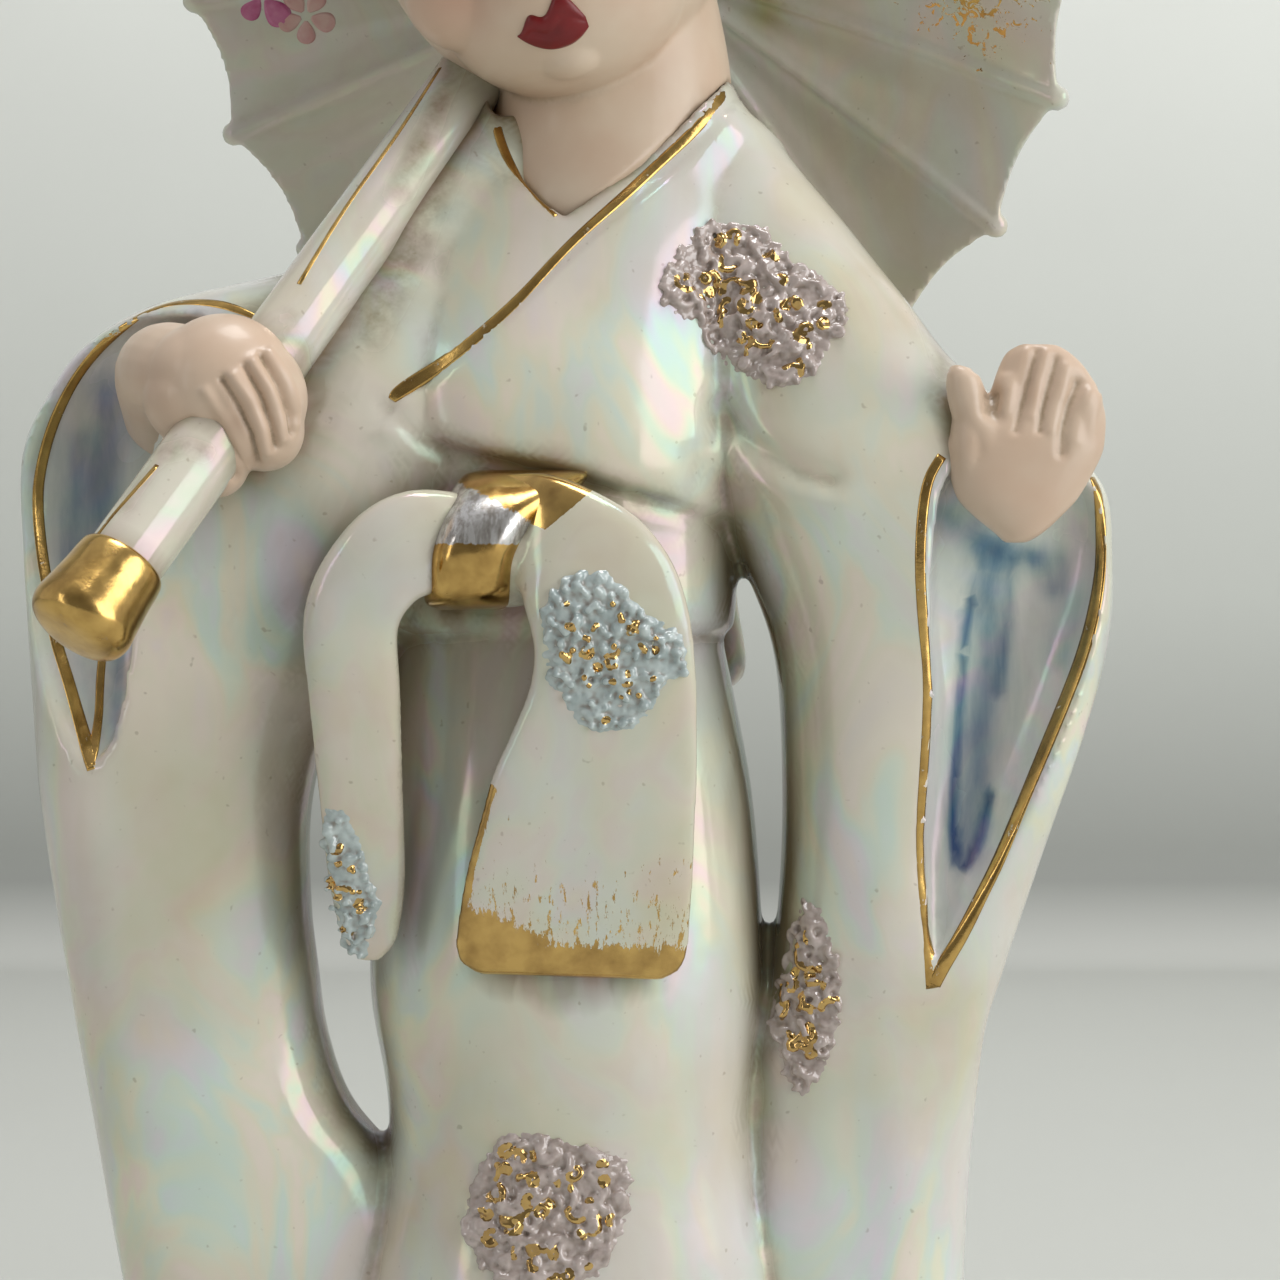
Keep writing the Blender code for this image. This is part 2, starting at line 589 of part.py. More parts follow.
def make_raised_hand(group):
    """The open hand on the viewer's right, palm to the front and fingers together."""
    rows = (
        (0.0, -0.28, 0.0, 0.4), (0.05, -0.41, 0.21, 0.7), (0.145, -0.70, 0.47, 0.95),
        (0.24, -0.90, 0.68, 1.0), (0.43, -1.01, 0.94, 1.0), (0.54, -0.97, 0.99, 0.95),
        (0.645, -0.72, 0.97, 0.85), (0.76, -0.41, 0.81, 0.75), (0.87, -0.14, 0.61, 0.7),
        (0.955, 0.0, 0.41, 0.6), (1.0, 0.10, 0.26, 0.3))
    palm = []
    for up, low, high, share in rows:
        middle = hand_place(0.5 * (low + high), 0.0, up)
        palm.append((middle.z, middle.x, 0.5 * (high - low) * HAND_HALF_WIDTH, middle.y,
                     PALM_HALF_THICKNESS * share))
    pieces = [upright_loft("right_palm", palm, 2.2, group)]
    thumb = [hand_place(-0.43, 0.0005, 0.43), hand_place(-0.72, 0.0010, 0.67),
             hand_place(-0.83, 0.0014, 0.82), hand_place(-0.81, 0.0014, 0.87)]
    pieces.append(tube("right_thumb", thumb, [1.3 * THUMB_RADIUS, THUMB_RADIUS, 0.8 * THUMB_RADIUS,
                                              0.4 * THUMB_RADIUS], group))
    for finger, tip in enumerate((0.93, 1.01, 0.96, 0.81)):
        side = -0.37 + 0.345 * finger
        points = [hand_place(side, 0.0006, 0.39), hand_place(side + 0.09, 0.0010, 0.69),
                  hand_place(side + 0.18, 0.0002, tip - FINGER_RADIUS / HAND_LENGTH)]
        radii = [FINGER_RADIUS, FINGER_RADIUS, 0.8 * FINGER_RADIUS]
        pieces.append(tube("raised_finger", points, radii, group))
    wrist = [hand_place(-0.05, -0.0010, 0.30), from_shoulder(0.756, 0.41, 0.229),
             from_shoulder(0.643, 0.14, 0.204)]
    pieces.append(tube("right_wrist", wrist, [WRIST_RADIUS] * 3, group))
    return pieces


def fuse(name, pieces, group):
    """One closed casting out of all the overlapping pieces, with softened inner corners."""
    graph = bpy.context.evaluated_depsgraph_get()
    body = bmesh.new()
    for piece in pieces:
        mesh = bpy.data.meshes.new_from_object(piece.evaluated_get(graph))
        mesh.transform(piece.matrix_world)
        body.from_mesh(mesh)
        bpy.data.meshes.remove(mesh)
    mesh = bpy.data.meshes.new(name)
    body.to_mesh(mesh)
    body.free()
    whole = mesh_object(name, mesh, group)
    skin = whole.modifiers.new("skin", "REMESH")
    skin.mode = "VOXEL"
    skin.voxel_size = VOXEL
    soft = whole.modifiers.new("soft", "SMOOTH")
    soft.factor = 0.5
    soft.iterations = GLAZE_SMOOTHING
    bpy.context.view_layer.update()
    graph = bpy.context.evaluated_depsgraph_get()
    count = sum(len(face.vertices) - 2 for face in whole.evaluated_get(graph).to_mesh().polygons)
    thin = whole.modifiers.new("thin", "DECIMATE")
    thin.ratio = TRIANGLES / count
    return whole


def flat_base(target, cutters):
    """Cuts the hem off level at the table."""
    bpy.ops.mesh.primitive_cube_add(size=1.0)
    block = bpy.context.object
    block.name = "below_table"
    for owner in list(block.users_collection):
        owner.objects.unlink(block)
    cutters.objects.link(block)
    block.data.transform(Matrix.Translation((0, 0, -0.5)))
    block.hide_render = True
    block.display_type = "WIRE"
    cut(target, block)


def main():
    clear_scene()
    figure = collection("geisha_figurine")
    cutters = collection("cutters")
    shapes = collection("shapes")
    pieces = [make_body(shapes), make_blouse(shapes)]
    bpy.context.view_layer.update()
    pieces += make_lapels(list(pieces), shapes)
    pieces += [make_right_sleeve(shapes, cutters), make_left_sleeve(shapes, cutters)]
    pieces += make_obi(shapes)
    pieces += make_head(shapes)
    pieces += make_sash(shapes)
    pieces += make_parasol(shapes)
    pieces += make_gripping_hand(shapes)
    pieces += make_raised_hand(shapes)
    bpy.context.view_layer.update()
    whole = fuse("figurine", pieces, figure)
    for piece in pieces:
        bpy.data.objects.remove(piece, do_unlink=True)
    flat_base(whole, cutters)
    whole.data.materials.append(material("glazed_porcelain", PORCELAIN, 0.12, 0.0))


main()
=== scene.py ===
"""Looks of the glazed porcelain geisha figurine, built around its packed casting."""
import math
import random

import bmesh
import bpy
import numpy as np
from mathutils import Matrix, Vector
from mathutils.bvhtree import BVHTree
from mathutils.kdtree import KDTree


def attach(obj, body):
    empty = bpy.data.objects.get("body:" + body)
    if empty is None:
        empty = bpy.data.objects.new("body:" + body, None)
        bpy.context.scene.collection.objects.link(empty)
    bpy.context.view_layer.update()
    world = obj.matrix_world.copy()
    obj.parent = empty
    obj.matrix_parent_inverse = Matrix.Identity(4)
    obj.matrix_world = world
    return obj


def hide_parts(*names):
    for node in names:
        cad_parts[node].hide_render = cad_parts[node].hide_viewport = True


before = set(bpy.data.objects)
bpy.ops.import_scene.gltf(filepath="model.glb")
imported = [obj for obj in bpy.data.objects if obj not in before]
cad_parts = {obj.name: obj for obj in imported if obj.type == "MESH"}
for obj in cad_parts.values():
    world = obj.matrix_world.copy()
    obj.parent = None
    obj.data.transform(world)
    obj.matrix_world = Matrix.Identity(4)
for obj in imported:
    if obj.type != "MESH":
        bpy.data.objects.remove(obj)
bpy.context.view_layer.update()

# The photograph's camera, half of the photograph's width in pixels, and how wide one pixel is a metre away
CAMERA_X, CAMERA_Z = 0.0066, 0.1152
CAMERA = Vector((CAMERA_X, -0.320, CAMERA_Z))
LENS, SENSOR_WIDTH = 75.0, 36.0
HALF_PHOTO = 640
PIXEL = SENSOR_WIDTH / LENS / (2 * HALF_PHOTO)

# Heights and half sizes of the standing body, as in the casting
HEM_HEIGHT, KNEE_HEIGHT, HIP_HEIGHT, WAIST_HEIGHT = 0.004, 0.052, 0.098, 0.128
CHEST_HEIGHT, SHOULDER_HEIGHT = 0.152, 0.171
COLLAR_HEIGHT = SHOULDER_HEIGHT + 0.012
HEM_HALF_WIDTH, HEM_HALF_DEPTH = 0.0380, 0.0280
KNEE_HALF_WIDTH, KNEE_HALF_DEPTH = 0.0226, 0.0195
HIP_HALF_WIDTH, HIP_HALF_DEPTH = 0.0223, 0.0187
WAIST_HALF_WIDTH, WAIST_HALF_DEPTH = 0.0196, 0.0168
CHEST_HALF_WIDTH, CHEST_HALF_DEPTH = 0.0235, 0.0180
SHOULDER_HALF_WIDTH, SHOULDER_HALF_DEPTH = 0.0225, 0.0135
NECK_X = 0.0028
OBI_THICKNESS, OBI_HALF_HEIGHT = 0.0012, 0.0120
BLOUSE_OVERHANG, BLOUSE_EDGE_SLOPE = 0.0034, -0.25
BOW_HALF_WIDTH, BOW_HALF_HEIGHT, BOW_HALF_DEPTH = 0.0225, 0.0145, 0.0090
KNOT_RADIUS, KNOT_DEPTH, TAIL_THICKNESS, TAIL_LENGTH = 0.0085, 0.0075, 0.0036, 0.0510
RIGHT_REACH, LEFT_REACH, SLEEVE_LENGTH, SLEEVE_HALF_DEPTH = 0.0622, 0.0657, 0.1570, 0.0145
SLEEVE_SQUARENESS, RECESS_DEPTH = 2.6, 0.0065

# Head, hair, parasol and hands, as in the casting
HEAD_CENTRE = Vector((-0.0040, -0.0060, 0.2012))
HEAD_TURN = Matrix.Rotation(math.radians(-15), 4, "Y") @ Matrix.Rotation(math.radians(8), 4, "X")
FACE_TURN = HEAD_TURN @ Matrix.Rotation(math.radians(-10), 4, "Z")
HEAD_RADIUS, HEAD_HEIGHT_RADIUS, JAW_RADIUS, EYE_X = 0.0208, 0.0220, 0.0148, 0.0078
HAIR_RADIUS, HAIR_RISE, HAIR_BACK, BUN_RADIUS = 0.0232, 0.0110, 0.0055, 0.0120
HANDLE_RADIUS, CAP_RADIUS, CAP_LENGTH = 0.0043, 0.0062, 0.0110
CANOPY_RADIUS, CANOPY_RISE, CANOPY_THICKNESS, CANOPY_RIBS = 0.0575, 0.0130, 0.0024, 20
RIB_HEIGHT, SCALLOP_DEPTH, RIB_TIP_RADIUS, HUB_RADIUS = 0.0012, 0.0020, 0.0016, 0.0065
HAND_LENGTH, HAND_HALF_WIDTH, FINGER_RADIUS = 0.0228, 0.0090, 0.0019
PALM_HALF_THICKNESS, WRIST_RADIUS = 0.0036, 0.0052

# Fineness of the fused pieces
FINE = 1.0
RING_POINTS = 72
SPAN_STEPS = 10

# A painted stroke: rows between two given ones, points across, how far it spreads beyond the width given,
# and how deep it is sunk
STROKE_STEPS, STROKE_POINTS, STROKE_SPREAD, STROKE_SUNK = 6, 6, 1.2, 0.0003

# How far rays look for the figurine's own walls, and how many leave each point
SHELTER_REACH, SHELTER_RAYS = 0.030, 8

scratch = bpy.data.collections.new("shapes")
bpy.context.scene.collection.children.link(scratch)


def sideways(side):
    """A share of the reach of the right sleeve, or of the left one where it is negative."""
    return side * (RIGHT_REACH if side > 0 else LEFT_REACH)


def from_shoulder(side, front, down):
    """A place on an arm or sleeve, in shares of the sleeve's reach, half depth and length."""
    return Vector((sideways(side), -front * SLEEVE_HALF_DEPTH, SHOULDER_HEIGHT - down * SLEEVE_LENGTH))


def from_waist(side, front, down):
    """A place on the sash, in shares of the waist's half width and half depth and of the tail."""
    y = -(1 + front) * WAIST_HALF_DEPTH
    return Vector((side * WAIST_HALF_WIDTH, y, WAIST_HEIGHT - down * TAIL_LENGTH))


def smooth_rows(rows, steps, closed=False):
    """Rows of numbers, with rows between them on a smooth curve through all of them."""
    rows = np.array(rows, float)
    count = len(rows)
    result = []
    for index in range(count if closed else count - 1):
        if closed:
            before, start, end, after = (rows[(index + k) % count] for k in (-1, 0, 1, 2))
        else:
            start, end = rows[index], rows[index + 1]
            before = rows[index - 1] if index else 2 * start - end
            after = rows[index + 2] if index + 2 < count else 2 * end - start
        for step in range(steps):
            t = step / steps
            result.append(0.5 * (2 * start + (end - before) * t
                                 + (2 * before - 5 * start + 4 * end - after) * t ** 2
                                 + (3 * start - before - 3 * end + after) * t ** 3))
    if not closed:
        result.append(rows[-1])
    return np.array(result)


def body_object(name, body, collection=scratch):
    """An object made from a bmesh, which is freed."""
    mesh = bpy.data.meshes.new(name)
    body.to_mesh(mesh)
    body.free()
    made = bpy.data.objects.new(name, mesh)
    collection.objects.link(made)
    return made


def mesh_object(name, verts, faces):
    mesh = bpy.data.meshes.new(name)
    mesh.from_pydata([tuple(vert) for vert in verts], [], faces)
    mesh.update()
    made = bpy.data.objects.new(name, mesh)
    scratch.objects.link(made)
    return made


def ring_faces(levels, count):
    """Faces of a closed solid through rings that follow each other in the list of points."""
    faces = []
    for level in range(levels - 1):
        low, high = level * count, (level + 1) * count
        for index in range(count):
            after = (index + 1) % count
            faces.append((low + index, low + after, high + after, high + index))
    faces.append(tuple(reversed(range(count))))
    faces.append(tuple(range((levels - 1) * count, levels * count)))
    return faces


def outward(made):
    """Turns a closed solid's faces to the outside."""
    body = bmesh.new()
    body.from_mesh(made.data)
    bmesh.ops.recalc_face_normals(body, faces=body.faces)
    body.to_mesh(made.data)
    body.free()
    return made


def skin_rings(name, rings):
    verts = [point for ring in rings for point in ring]
    return outward(mesh_object(name, verts, ring_faces(len(rings), len(rings[0]))))


def oval(centre, across, along, squareness):
    """A ring around centre with the two half axes given as vectors."""
    points = []
    for index in range(RING_POINTS):
        angle = 2 * math.pi * index / RING_POINTS
        c, s = math.cos(angle), math.sin(angle)
        u = math.copysign(abs(c) ** (2 / squareness), c)
        v = math.copysign(abs(s) ** (2 / squareness), s)
        points.append(centre + across * u + along * v)
    return points


def upright_loft(name, rows, squareness):
    """A solid through ovals: height, x of the middle, half width, y of the middle, half depth, slope."""
    rings = []
    rows = [row if len(row) == 6 else (*row, 0.0) for row in rows]
    for z, x, half_width, y, half_depth, slope in smooth_rows(rows, SPAN_STEPS):
        rings.append(oval(Vector((x, y, z)), Vector((half_width, 0, slope * half_width)),
                          Vector((0, half_depth, 0)), squareness))
    return skin_rings(name, rings)


def ribbon(name, rows, squareness):
    """A flat band along a path that bends in the upright plane: x, y, z, half width, half thickness."""
    rows = smooth_rows(rows, SPAN_STEPS)
    rings = []
    for index, (x, y, z, half_width, half_thickness) in enumerate(rows):
        along = Vector(rows[min(index + 1, len(rows) - 1)][:3] - rows[max(index - 1, 0)][:3]).normalized()
        across = along.cross(Vector((0, 1, 0))).normalized()
        thick = across.cross(along).normalized()
        rings.append(oval(Vector((x, y, z)), across * half_width, thick * half_thickness, squareness))
    return skin_rings(name, rings)


def tube(name, points, radii, sides=20, steps=SPAN_STEPS):
    """A round bar through points, with its own radius at each point and closed flat ends."""
    rows = smooth_rows([(*point, radius) for point, radius in zip(points, radii)], steps)
    rings = []
    side = None
    for index, row in enumerate(rows):
        along = Vector(rows[min(index + 1, len(rows) - 1)][:3] - rows[max(index - 1, 0)][:3]).normalized()
        if side is None:
            side = along.orthogonal().normalized()
        side = (side - along * side.dot(along)).normalized()
        other = along.cross(side)
        centre = Vector(row[:3])
        rings.append([centre + (side * math.cos(2 * math.pi * k / sides)
                                + other * math.sin(2 * math.pi * k / sides)) * row[3] for k in range(sides)])
    return skin_rings(name, rings)


def ellipsoid(name, centre, radii, turn=None, segments=48):
    body = bmesh.new()
    bmesh.ops.create_uvsphere(body, u_segments=segments, v_segments=segments // 2, radius=1.0)
    placed = Matrix.Diagonal((*radii, 1.0))
    if turn is not None:
        placed = turn @ placed
    bmesh.ops.transform(body, matrix=Matrix.Translation(centre) @ placed, verts=body.verts)
    return body_object(name, body)


def bake(made):
    """Puts what an object's modifiers make in the place of its mesh."""
    bpy.context.view_layer.update()
    graph = bpy.context.evaluated_depsgraph_get()
    mesh = bpy.data.meshes.new_from_object(made.evaluated_get(graph))
    made.modifiers.clear()
    made.data = mesh


def cut(target, cutter):
    """Takes the cutter out of the target, at once."""
    modifier = target.modifiers.new("cut", "BOOLEAN")
    modifier.operation = "DIFFERENCE"
    modifier.solver = "EXACT"
    modifier.object = cutter
    bake(target)


def merged(name, pieces):
    """One object in place of all the pieces."""
    body = bmesh.new()
    for piece in pieces:
        body.from_mesh(piece.data)
        bpy.data.objects.remove(piece, do_unlink=True)
    return body_object(name, body, bpy.context.scene.collection)


def fuse(name, pieces, voxel, smoothing, most=None, shape=None):
    """One closed skin over all the overlapping pieces, with softened corners and a relief of its own."""
    whole = merged(name, pieces)
    skin = whole.modifiers.new("skin", "REMESH")
    skin.mode = "VOXEL"
    skin.voxel_size = voxel * FINE
    soft = whole.modifiers.new("soft", "SMOOTH")
    soft.factor = 0.5
    soft.iterations = smoothing
    bake(whole)
    if shape is not None:
        verts, normals = points_of(whole), normals_of(whole)
        set_points(whole, verts + normals * shape(verts, normals)[:, None])
    count = 2 * len(whole.data.polygons)
    if most and count > most:
        thin = whole.modifiers.new("thin", "DECIMATE")
        thin.ratio = most / count
        bake(whole)
    whole.data.name = name
    smooth_shading(whole)
    return whole


def smooth_shading(made):
    made.data.polygons.foreach_set("use_smooth", [True] * len(made.data.polygons))
    made.data.update()


def vertex_rows(made, key):
    """Three numbers for each point of a mesh."""
    rows = np.empty(3 * len(made.data.vertices))
    made.data.vertices.foreach_get(key, rows)
    return rows.reshape(-1, 3)


def points_of(made):
    return vertex_rows(made, "co")


def normals_of(made):
    return vertex_rows(made, "normal")


def edges_of(made):
    edges = np.empty(2 * len(made.data.edges), np.int64)
    made.data.edges.foreach_get("vertices", edges)
    return edges.reshape(-1, 2)


def set_points(made, verts):
    made.data.vertices.foreach_set("co", verts.ravel())
    made.data.update()


def paint(made, name, values):
    """A number at each point of the mesh, for the glaze to read."""
    layer = made.data.attributes.new(name, "FLOAT", "POINT")
    layer.data.foreach_set("value", np.asarray(values, np.float32))


def neighbours_mean(values, edges, count):
    """The mean over each point's neighbours."""
    total = np.zeros_like(values)
    share = np.bincount(edges.ravel(), minlength=count).astype(float)
    for axis in range(values.shape[1]):
        total[:, axis] = (np.bincount(edges[:, 0], values[edges[:, 1], axis], count)
                          + np.bincount(edges[:, 1], values[edges[:, 0], axis], count))
    return total / np.maximum(share, 1)[:, None]


def hollows(made, rounds):
    """How far each point lies in a hollow: positive in creases, negative on edges, in metres."""
    verts = points_of(made)
    edges = edges_of(made)
    soft = verts
    for _ in range(rounds):
        soft = neighbours_mean(soft, edges, len(verts))
    return np.einsum("ij,ij->i", soft - verts, normals_of(made))


def tree_of(*pieces):
    """What rays from the camera can meet."""
    verts, faces = [], []
    for piece in pieces:
        start = len(verts)
        verts += [vert.co.copy() for vert in piece.data.vertices]
        faces += [tuple(start + index for index in face.vertices) for face in piece.data.polygons]
    return BVHTree.FromPolygons(verts, faces)


def seen(tree, px, py):
    """The place and outward direction of the surface behind a pixel of the photograph."""
    ray = Vector(((px - HALF_PHOTO) * PIXEL, 1.0, (HALF_PHOTO - py) * PIXEL)).normalized()
    place, normal, _, _ = tree.ray_cast(CAMERA, ray)
    if place is None:
        place, normal, _, _ = tree.find_nearest(CAMERA + ray * 0.31)
    return place, normal


def seen_at(px, py, y):
    """The place behind a pixel of the photograph, at a given depth."""
    away = (y - CAMERA.y) * PIXEL
    return Vector((CAMERA.x + (px - HALF_PHOTO) * away, y, CAMERA.z + (HALF_PHOTO - py) * away))


def pixels_of(verts):
    """Where points of a mesh lie in the photograph."""
    away = verts[:, 1] - CAMERA.y
    return np.stack((HALF_PHOTO + (verts[:, 0] - CAMERA.x) / away / PIXEL,
                     HALF_PHOTO - (verts[:, 2] - CAMERA.z) / away / PIXEL), axis=1)


def away_from(points, start, end):
    """The way to each point from the nearest place on a straight line."""
    run = end - start
    share = np.clip((points - start) @ run / (run @ run), 0, 1)
    return points - start - share[:, None] * run


def inside(outline, points):
    """Signed pixels to a closed outline, positive inside."""
    outline = np.array(outline, float)
    after = np.roll(outline, -1, axis=0)
    best = np.full(len(points), 1e9)
    crossed = np.zeros(len(points), bool)
    for start, end in zip(outline, after):
        best = np.minimum(best, np.linalg.norm(away_from(points, start, end), axis=1))
        if start[1] != end[1]:
            run = end - start
            within = (points[:, 1] > min(start[1], end[1])) & (points[:, 1] <= max(start[1], end[1]))
            meet = start[0] + (points[:, 1] - start[1]) * run[0] / run[1]
            crossed ^= within & (points[:, 0] < meet)
    return np.where(crossed, best, -best)


def ramp(values, low, high):
    t = np.clip((values - low) / (high - low), 0, 1)
    return t * t * (3 - 2 * t)


def ridge(pixels, line, reach):
    """1 on a line through the photograph, falling to 0 within reach pixels."""
    line = np.array(line, float)
    best = np.min([np.linalg.norm(away_from(pixels, start, end), axis=1)
                   for start, end in zip(line, line[1:])], axis=0)
    return np.exp(-(best / reach) ** 2)


def laid_on(pixels, strokes):
    """The sum of strokes at each pixel: line, reach in pixels and height or strength."""
    return sum(height * ridge(pixels, line, reach) for line, reach, height in strokes)


def strongest(pixels, strokes):
    """The strongest stroke at each pixel: line, reach in pixels and strength."""
    return np.max([strength * ridge(pixels, line, reach) for line, reach, strength in strokes], axis=0)


def softened(rows, rounds):
    """Rows of numbers that are drawn towards their neighbours, but for the first and last."""
    for _ in range(rounds):
        soft = rows.copy()
        soft[1:-1] = 0.25 * rows[:-2] + 0.5 * rows[1:-1] + 0.25 * rows[2:]
        rows = soft
    return rows


def painted_line(name, tree, rows, lift=0.00007):
    """A thin closed stroke of paint along pixels of the photograph: px, py and width in pixels."""
    rows = smooth_rows(rows, STROKE_STEPS)
    met = [seen(tree, px, py) for px, py, _ in rows]
    places = [(Vector(row[:3]), Vector(row[3:]).normalized())
              for row in softened(np.array([[*place, *normal] for place, normal in met]), 3)]
    rings = []
    for index, (place, normal) in enumerate(places):
        ahead = places[min(index + 1, len(places) - 1)][0]
        behind = places[max(index - 1, 0)][0]
        side = normal.cross((ahead - behind).normalized()).normalized()
        width = STROKE_SPREAD * rows[index][2] * PIXEL * (place.y - CAMERA.y)
        top, bottom = [], []
        for step in range(STROKE_POINTS):
            share = -1 + 2 * step / (STROKE_POINTS - 1)
            spot, outside, _, _ = tree.find_nearest(place + side * (0.5 * width * share))
            top.append(spot + outside * lift * (1.15 - 0.75 * share ** 4))
            bottom.append(spot - outside * STROKE_SUNK)
        rings.append(top + bottom[::-1])
    made = skin_rings(name, [[Vector(point) for point in ring] for ring in softened(np.array(rings), 2)])
    smooth_shading(made)
    return made


def join(name, pieces):
    made = merged(name, pieces)
    smooth_shading(made)
    return made


# The robe's painted edges in the photograph: px, py and width in pixels
RIGHT_EDGE = ((732, 80, 6), (718, 102, 9), (694, 131, 9), (658, 164, 9), (623, 197, 9),
              (584, 231, 8), (553, 262, 8), (515, 303, 9), (459, 352, 11), (402, 390, 12), (392, 400, 7))
LEFT_EDGE = ((494, 104, 6), (497, 128, 8), (506, 155, 8), (520, 178, 7), (539, 200, 6), (556, 216, 4))
V_NECK = ((-0.0112, 0.192), (-0.0110, 0.178), (-0.0100, 0.1738), (-0.0086, 0.1705), (-0.0067, 0.1680),
          (-0.0045, 0.1655), (-0.0020, 0.1636), (0.0030, 0.1675), (0.0070, 0.1708), (0.0105, 0.1742),
          (0.0140, 0.1780), (0.0168, 0.1815), (0.0182, 0.1850), (0.0195, 0.1920))
RIGHT_RIM = ((942, 456, 8), (926, 486, 9), (920, 555, 9), (923, 618, 9), (928, 672, 9), (928, 718, 10),
             (924, 780, 9), (921, 836, 9), (923, 880, 10), (927, 926, 11), (933, 988, 12))
RIGHT_RIM_OUTER = ((1092, 477, 11), (1100, 499, 13), (1102, 559, 14), (1094, 610, 15), (1083, 652, 16),
                   (1068, 693, 16), (1048, 742, 16), (1032, 780, 15), (1019, 811, 14), (995, 868, 14),
                   (966, 926, 14), (945, 963, 13), (934, 985, 12))
LEFT_RIM = ((262, 320, 4), (228, 306, 8), (192, 302, 8), (155, 308, 8), (114, 335, 9), (78, 375, 9),
            (53, 424, 10), (40, 473, 10), (38, 510, 10), (43, 560, 10), (50, 600, 10), (55, 637, 10),
            (67, 676, 10), (80, 722, 11), (88, 750, 12), (91, 770, 7))
LEFT_RIM_INNER = ((103, 650, 7), (100, 682, 7), (99, 713, 7), (95, 742, 8), (91, 766, 8))

# Metres that a pixel covers on the chest
CHEST_PIXEL = 0.00011


def sleeve_rows(rows):
    """Level ovals from shares: the way down, inner and outer edge, place forward and half depth."""
    result = []
    for down, inner, outer, front, depth in rows:
        middle = from_shoulder(0.5 * (inner + outer), front, down)
        half_width = 0.5 * abs(sideways(outer) - sideways(inner))
        result.append((middle.z, middle.x, half_width, middle.y, depth * SLEEVE_HALF_DEPTH))
    return result


def recess_cutter(name, rim, out):
    """A bowl under a closed rim line, open along the direction out."""
    rim = smooth_rows([tuple(point) for point in rim], 6, closed=True)
    middle = Vector(rim.mean(axis=0))
    rim = [middle + (Vector(point) - middle) * 0.97 for point in rim]
    rings = []
    for lift, spread in ((0.014, 1.10), (0.0, 1.0), (-0.2 * RECESS_DEPTH, 0.95), (-0.45 * RECESS_DEPTH, 0.85),
                         (-0.75 * RECESS_DEPTH, 0.66), (-0.95 * RECESS_DEPTH, 0.40), (-RECESS_DEPTH, 0.20)):
        rings.append([middle + (Vector(point) - middle) * spread + out * lift for point in rim])
    return skin_rings(name, rings)


def make_sleeve(name, rows, rim, out):
    """A sleeve with a recess under the rim of its opening, which faces out."""
    sleeve = upright_loft(name, sleeve_rows(rows), SLEEVE_SQUARENESS)
    rim = [from_shoulder(*place) for place in rim]
    cutter = recess_cutter(name + "_recess", rim, Vector(out).normalized())
    cut(sleeve, cutter)
    bpy.data.objects.remove(cutter, do_unlink=True)
    return sleeve


def distance_to_edge(verts):
    """Metres from the line of the crossed edge, positive on the side that lies on top."""
    line = np.array([((px - HALF_PHOTO) * CHEST_PIXEL + CAMERA_X, (HALF_PHOTO - py) * CHEST_PIXEL + CAMERA_Z)
                     for px, py, _ in RIGHT_EDGE])
    flat = verts[:, (0, 2)]
    best = np.full(len(flat), 1e9)
    signed = np.zeros(len(flat))
    for start, end in zip(line, line[1:]):
        run = end - start
        away = away_from(flat, start, end)
        length = np.linalg.norm(away, axis=1)
        side = np.sign(run[1] * away[:, 0] - run[0] * away[:, 1])
        nearer = length < best
        best = np.where(nearer, length, best)
        signed = np.where(nearer, side * length, signed)
    return -signed


# The sleeves as level ovals, in the shares that sleeve_rows reads
RIGHT_SLEEVE = (
    (-0.038, 0.096, 0.346, -0.14, 0.55), (0.0, 0.096, 0.421, -0.10, 0.72),
    (0.045, 0.129, 0.511, -0.03, 0.86), (0.096, 0.161, 0.608, 0.07, 0.93),
    (0.146, 0.193, 0.701, 0.17, 0.97), (0.191, 0.209, 0.836, 0.24, 0.97),
    (0.236, 0.233, 0.977, 0.28, 1.00), (0.293, 0.297, 1.000, 0.28, 1.00),
    (0.357, 0.357, 0.995, 0.24, 0.97), (0.427, 0.376, 0.949, 0.21, 0.93),
    (0.510, 0.378, 0.878, 0.14, 0.86), (0.605, 0.357, 0.801, 0.07, 0.79),
    (0.675, 0.305, 0.759, 0.0, 0.76), (0.834, 0.273, 0.730, -0.03, 0.72),
    (0.924, 0.273, 0.748, -0.03, 0.72), (0.978, 0.305, 0.699, -0.03, 0.55),
    (1.000, 0.402, 0.603, -0.03, 0.24))
LEFT_SLEEVE = (
    (-0.038, -0.228, -0.015, -0.07, 0.55), (0.006, -0.320, -0.030, 0.0, 0.72),
    (0.051, -0.434, -0.061, 0.07, 0.86), (0.080, -0.533, -0.076, 0.14, 0.86),
    (0.105, -0.761, -0.091, 0.31, 0.86), (0.134, -0.883, -0.107, 0.38, 0.90),
    (0.166, -0.944, -0.122, 0.41, 0.93), (0.217, -0.998, -0.152, 0.41, 0.97),
    (0.293, -1.000, -0.213, 0.34, 1.00), (0.357, -0.991, -0.335, 0.31, 0.97),
    (0.414, -0.983, -0.449, 0.28, 0.93), (0.478, -0.974, -0.495, 0.21, 0.90),
    (0.554, -0.951, -0.499, 0.14, 0.86), (0.605, -0.932, -0.487, 0.10, 0.83),
    (0.656, -0.913, -0.469, 0.07, 0.79), (0.707, -0.893, -0.426, 0.03, 0.79),
    (0.758, -0.874, -0.335, 0.0, 0.76), (0.834, -0.843, -0.289, -0.03, 0.76),
    (0.924, -0.807, -0.274, -0.03, 0.72), (0.978, -0.761, -0.335, -0.03, 0.55),
    (1.000, -0.670, -0.426, -0.03, 0.24))
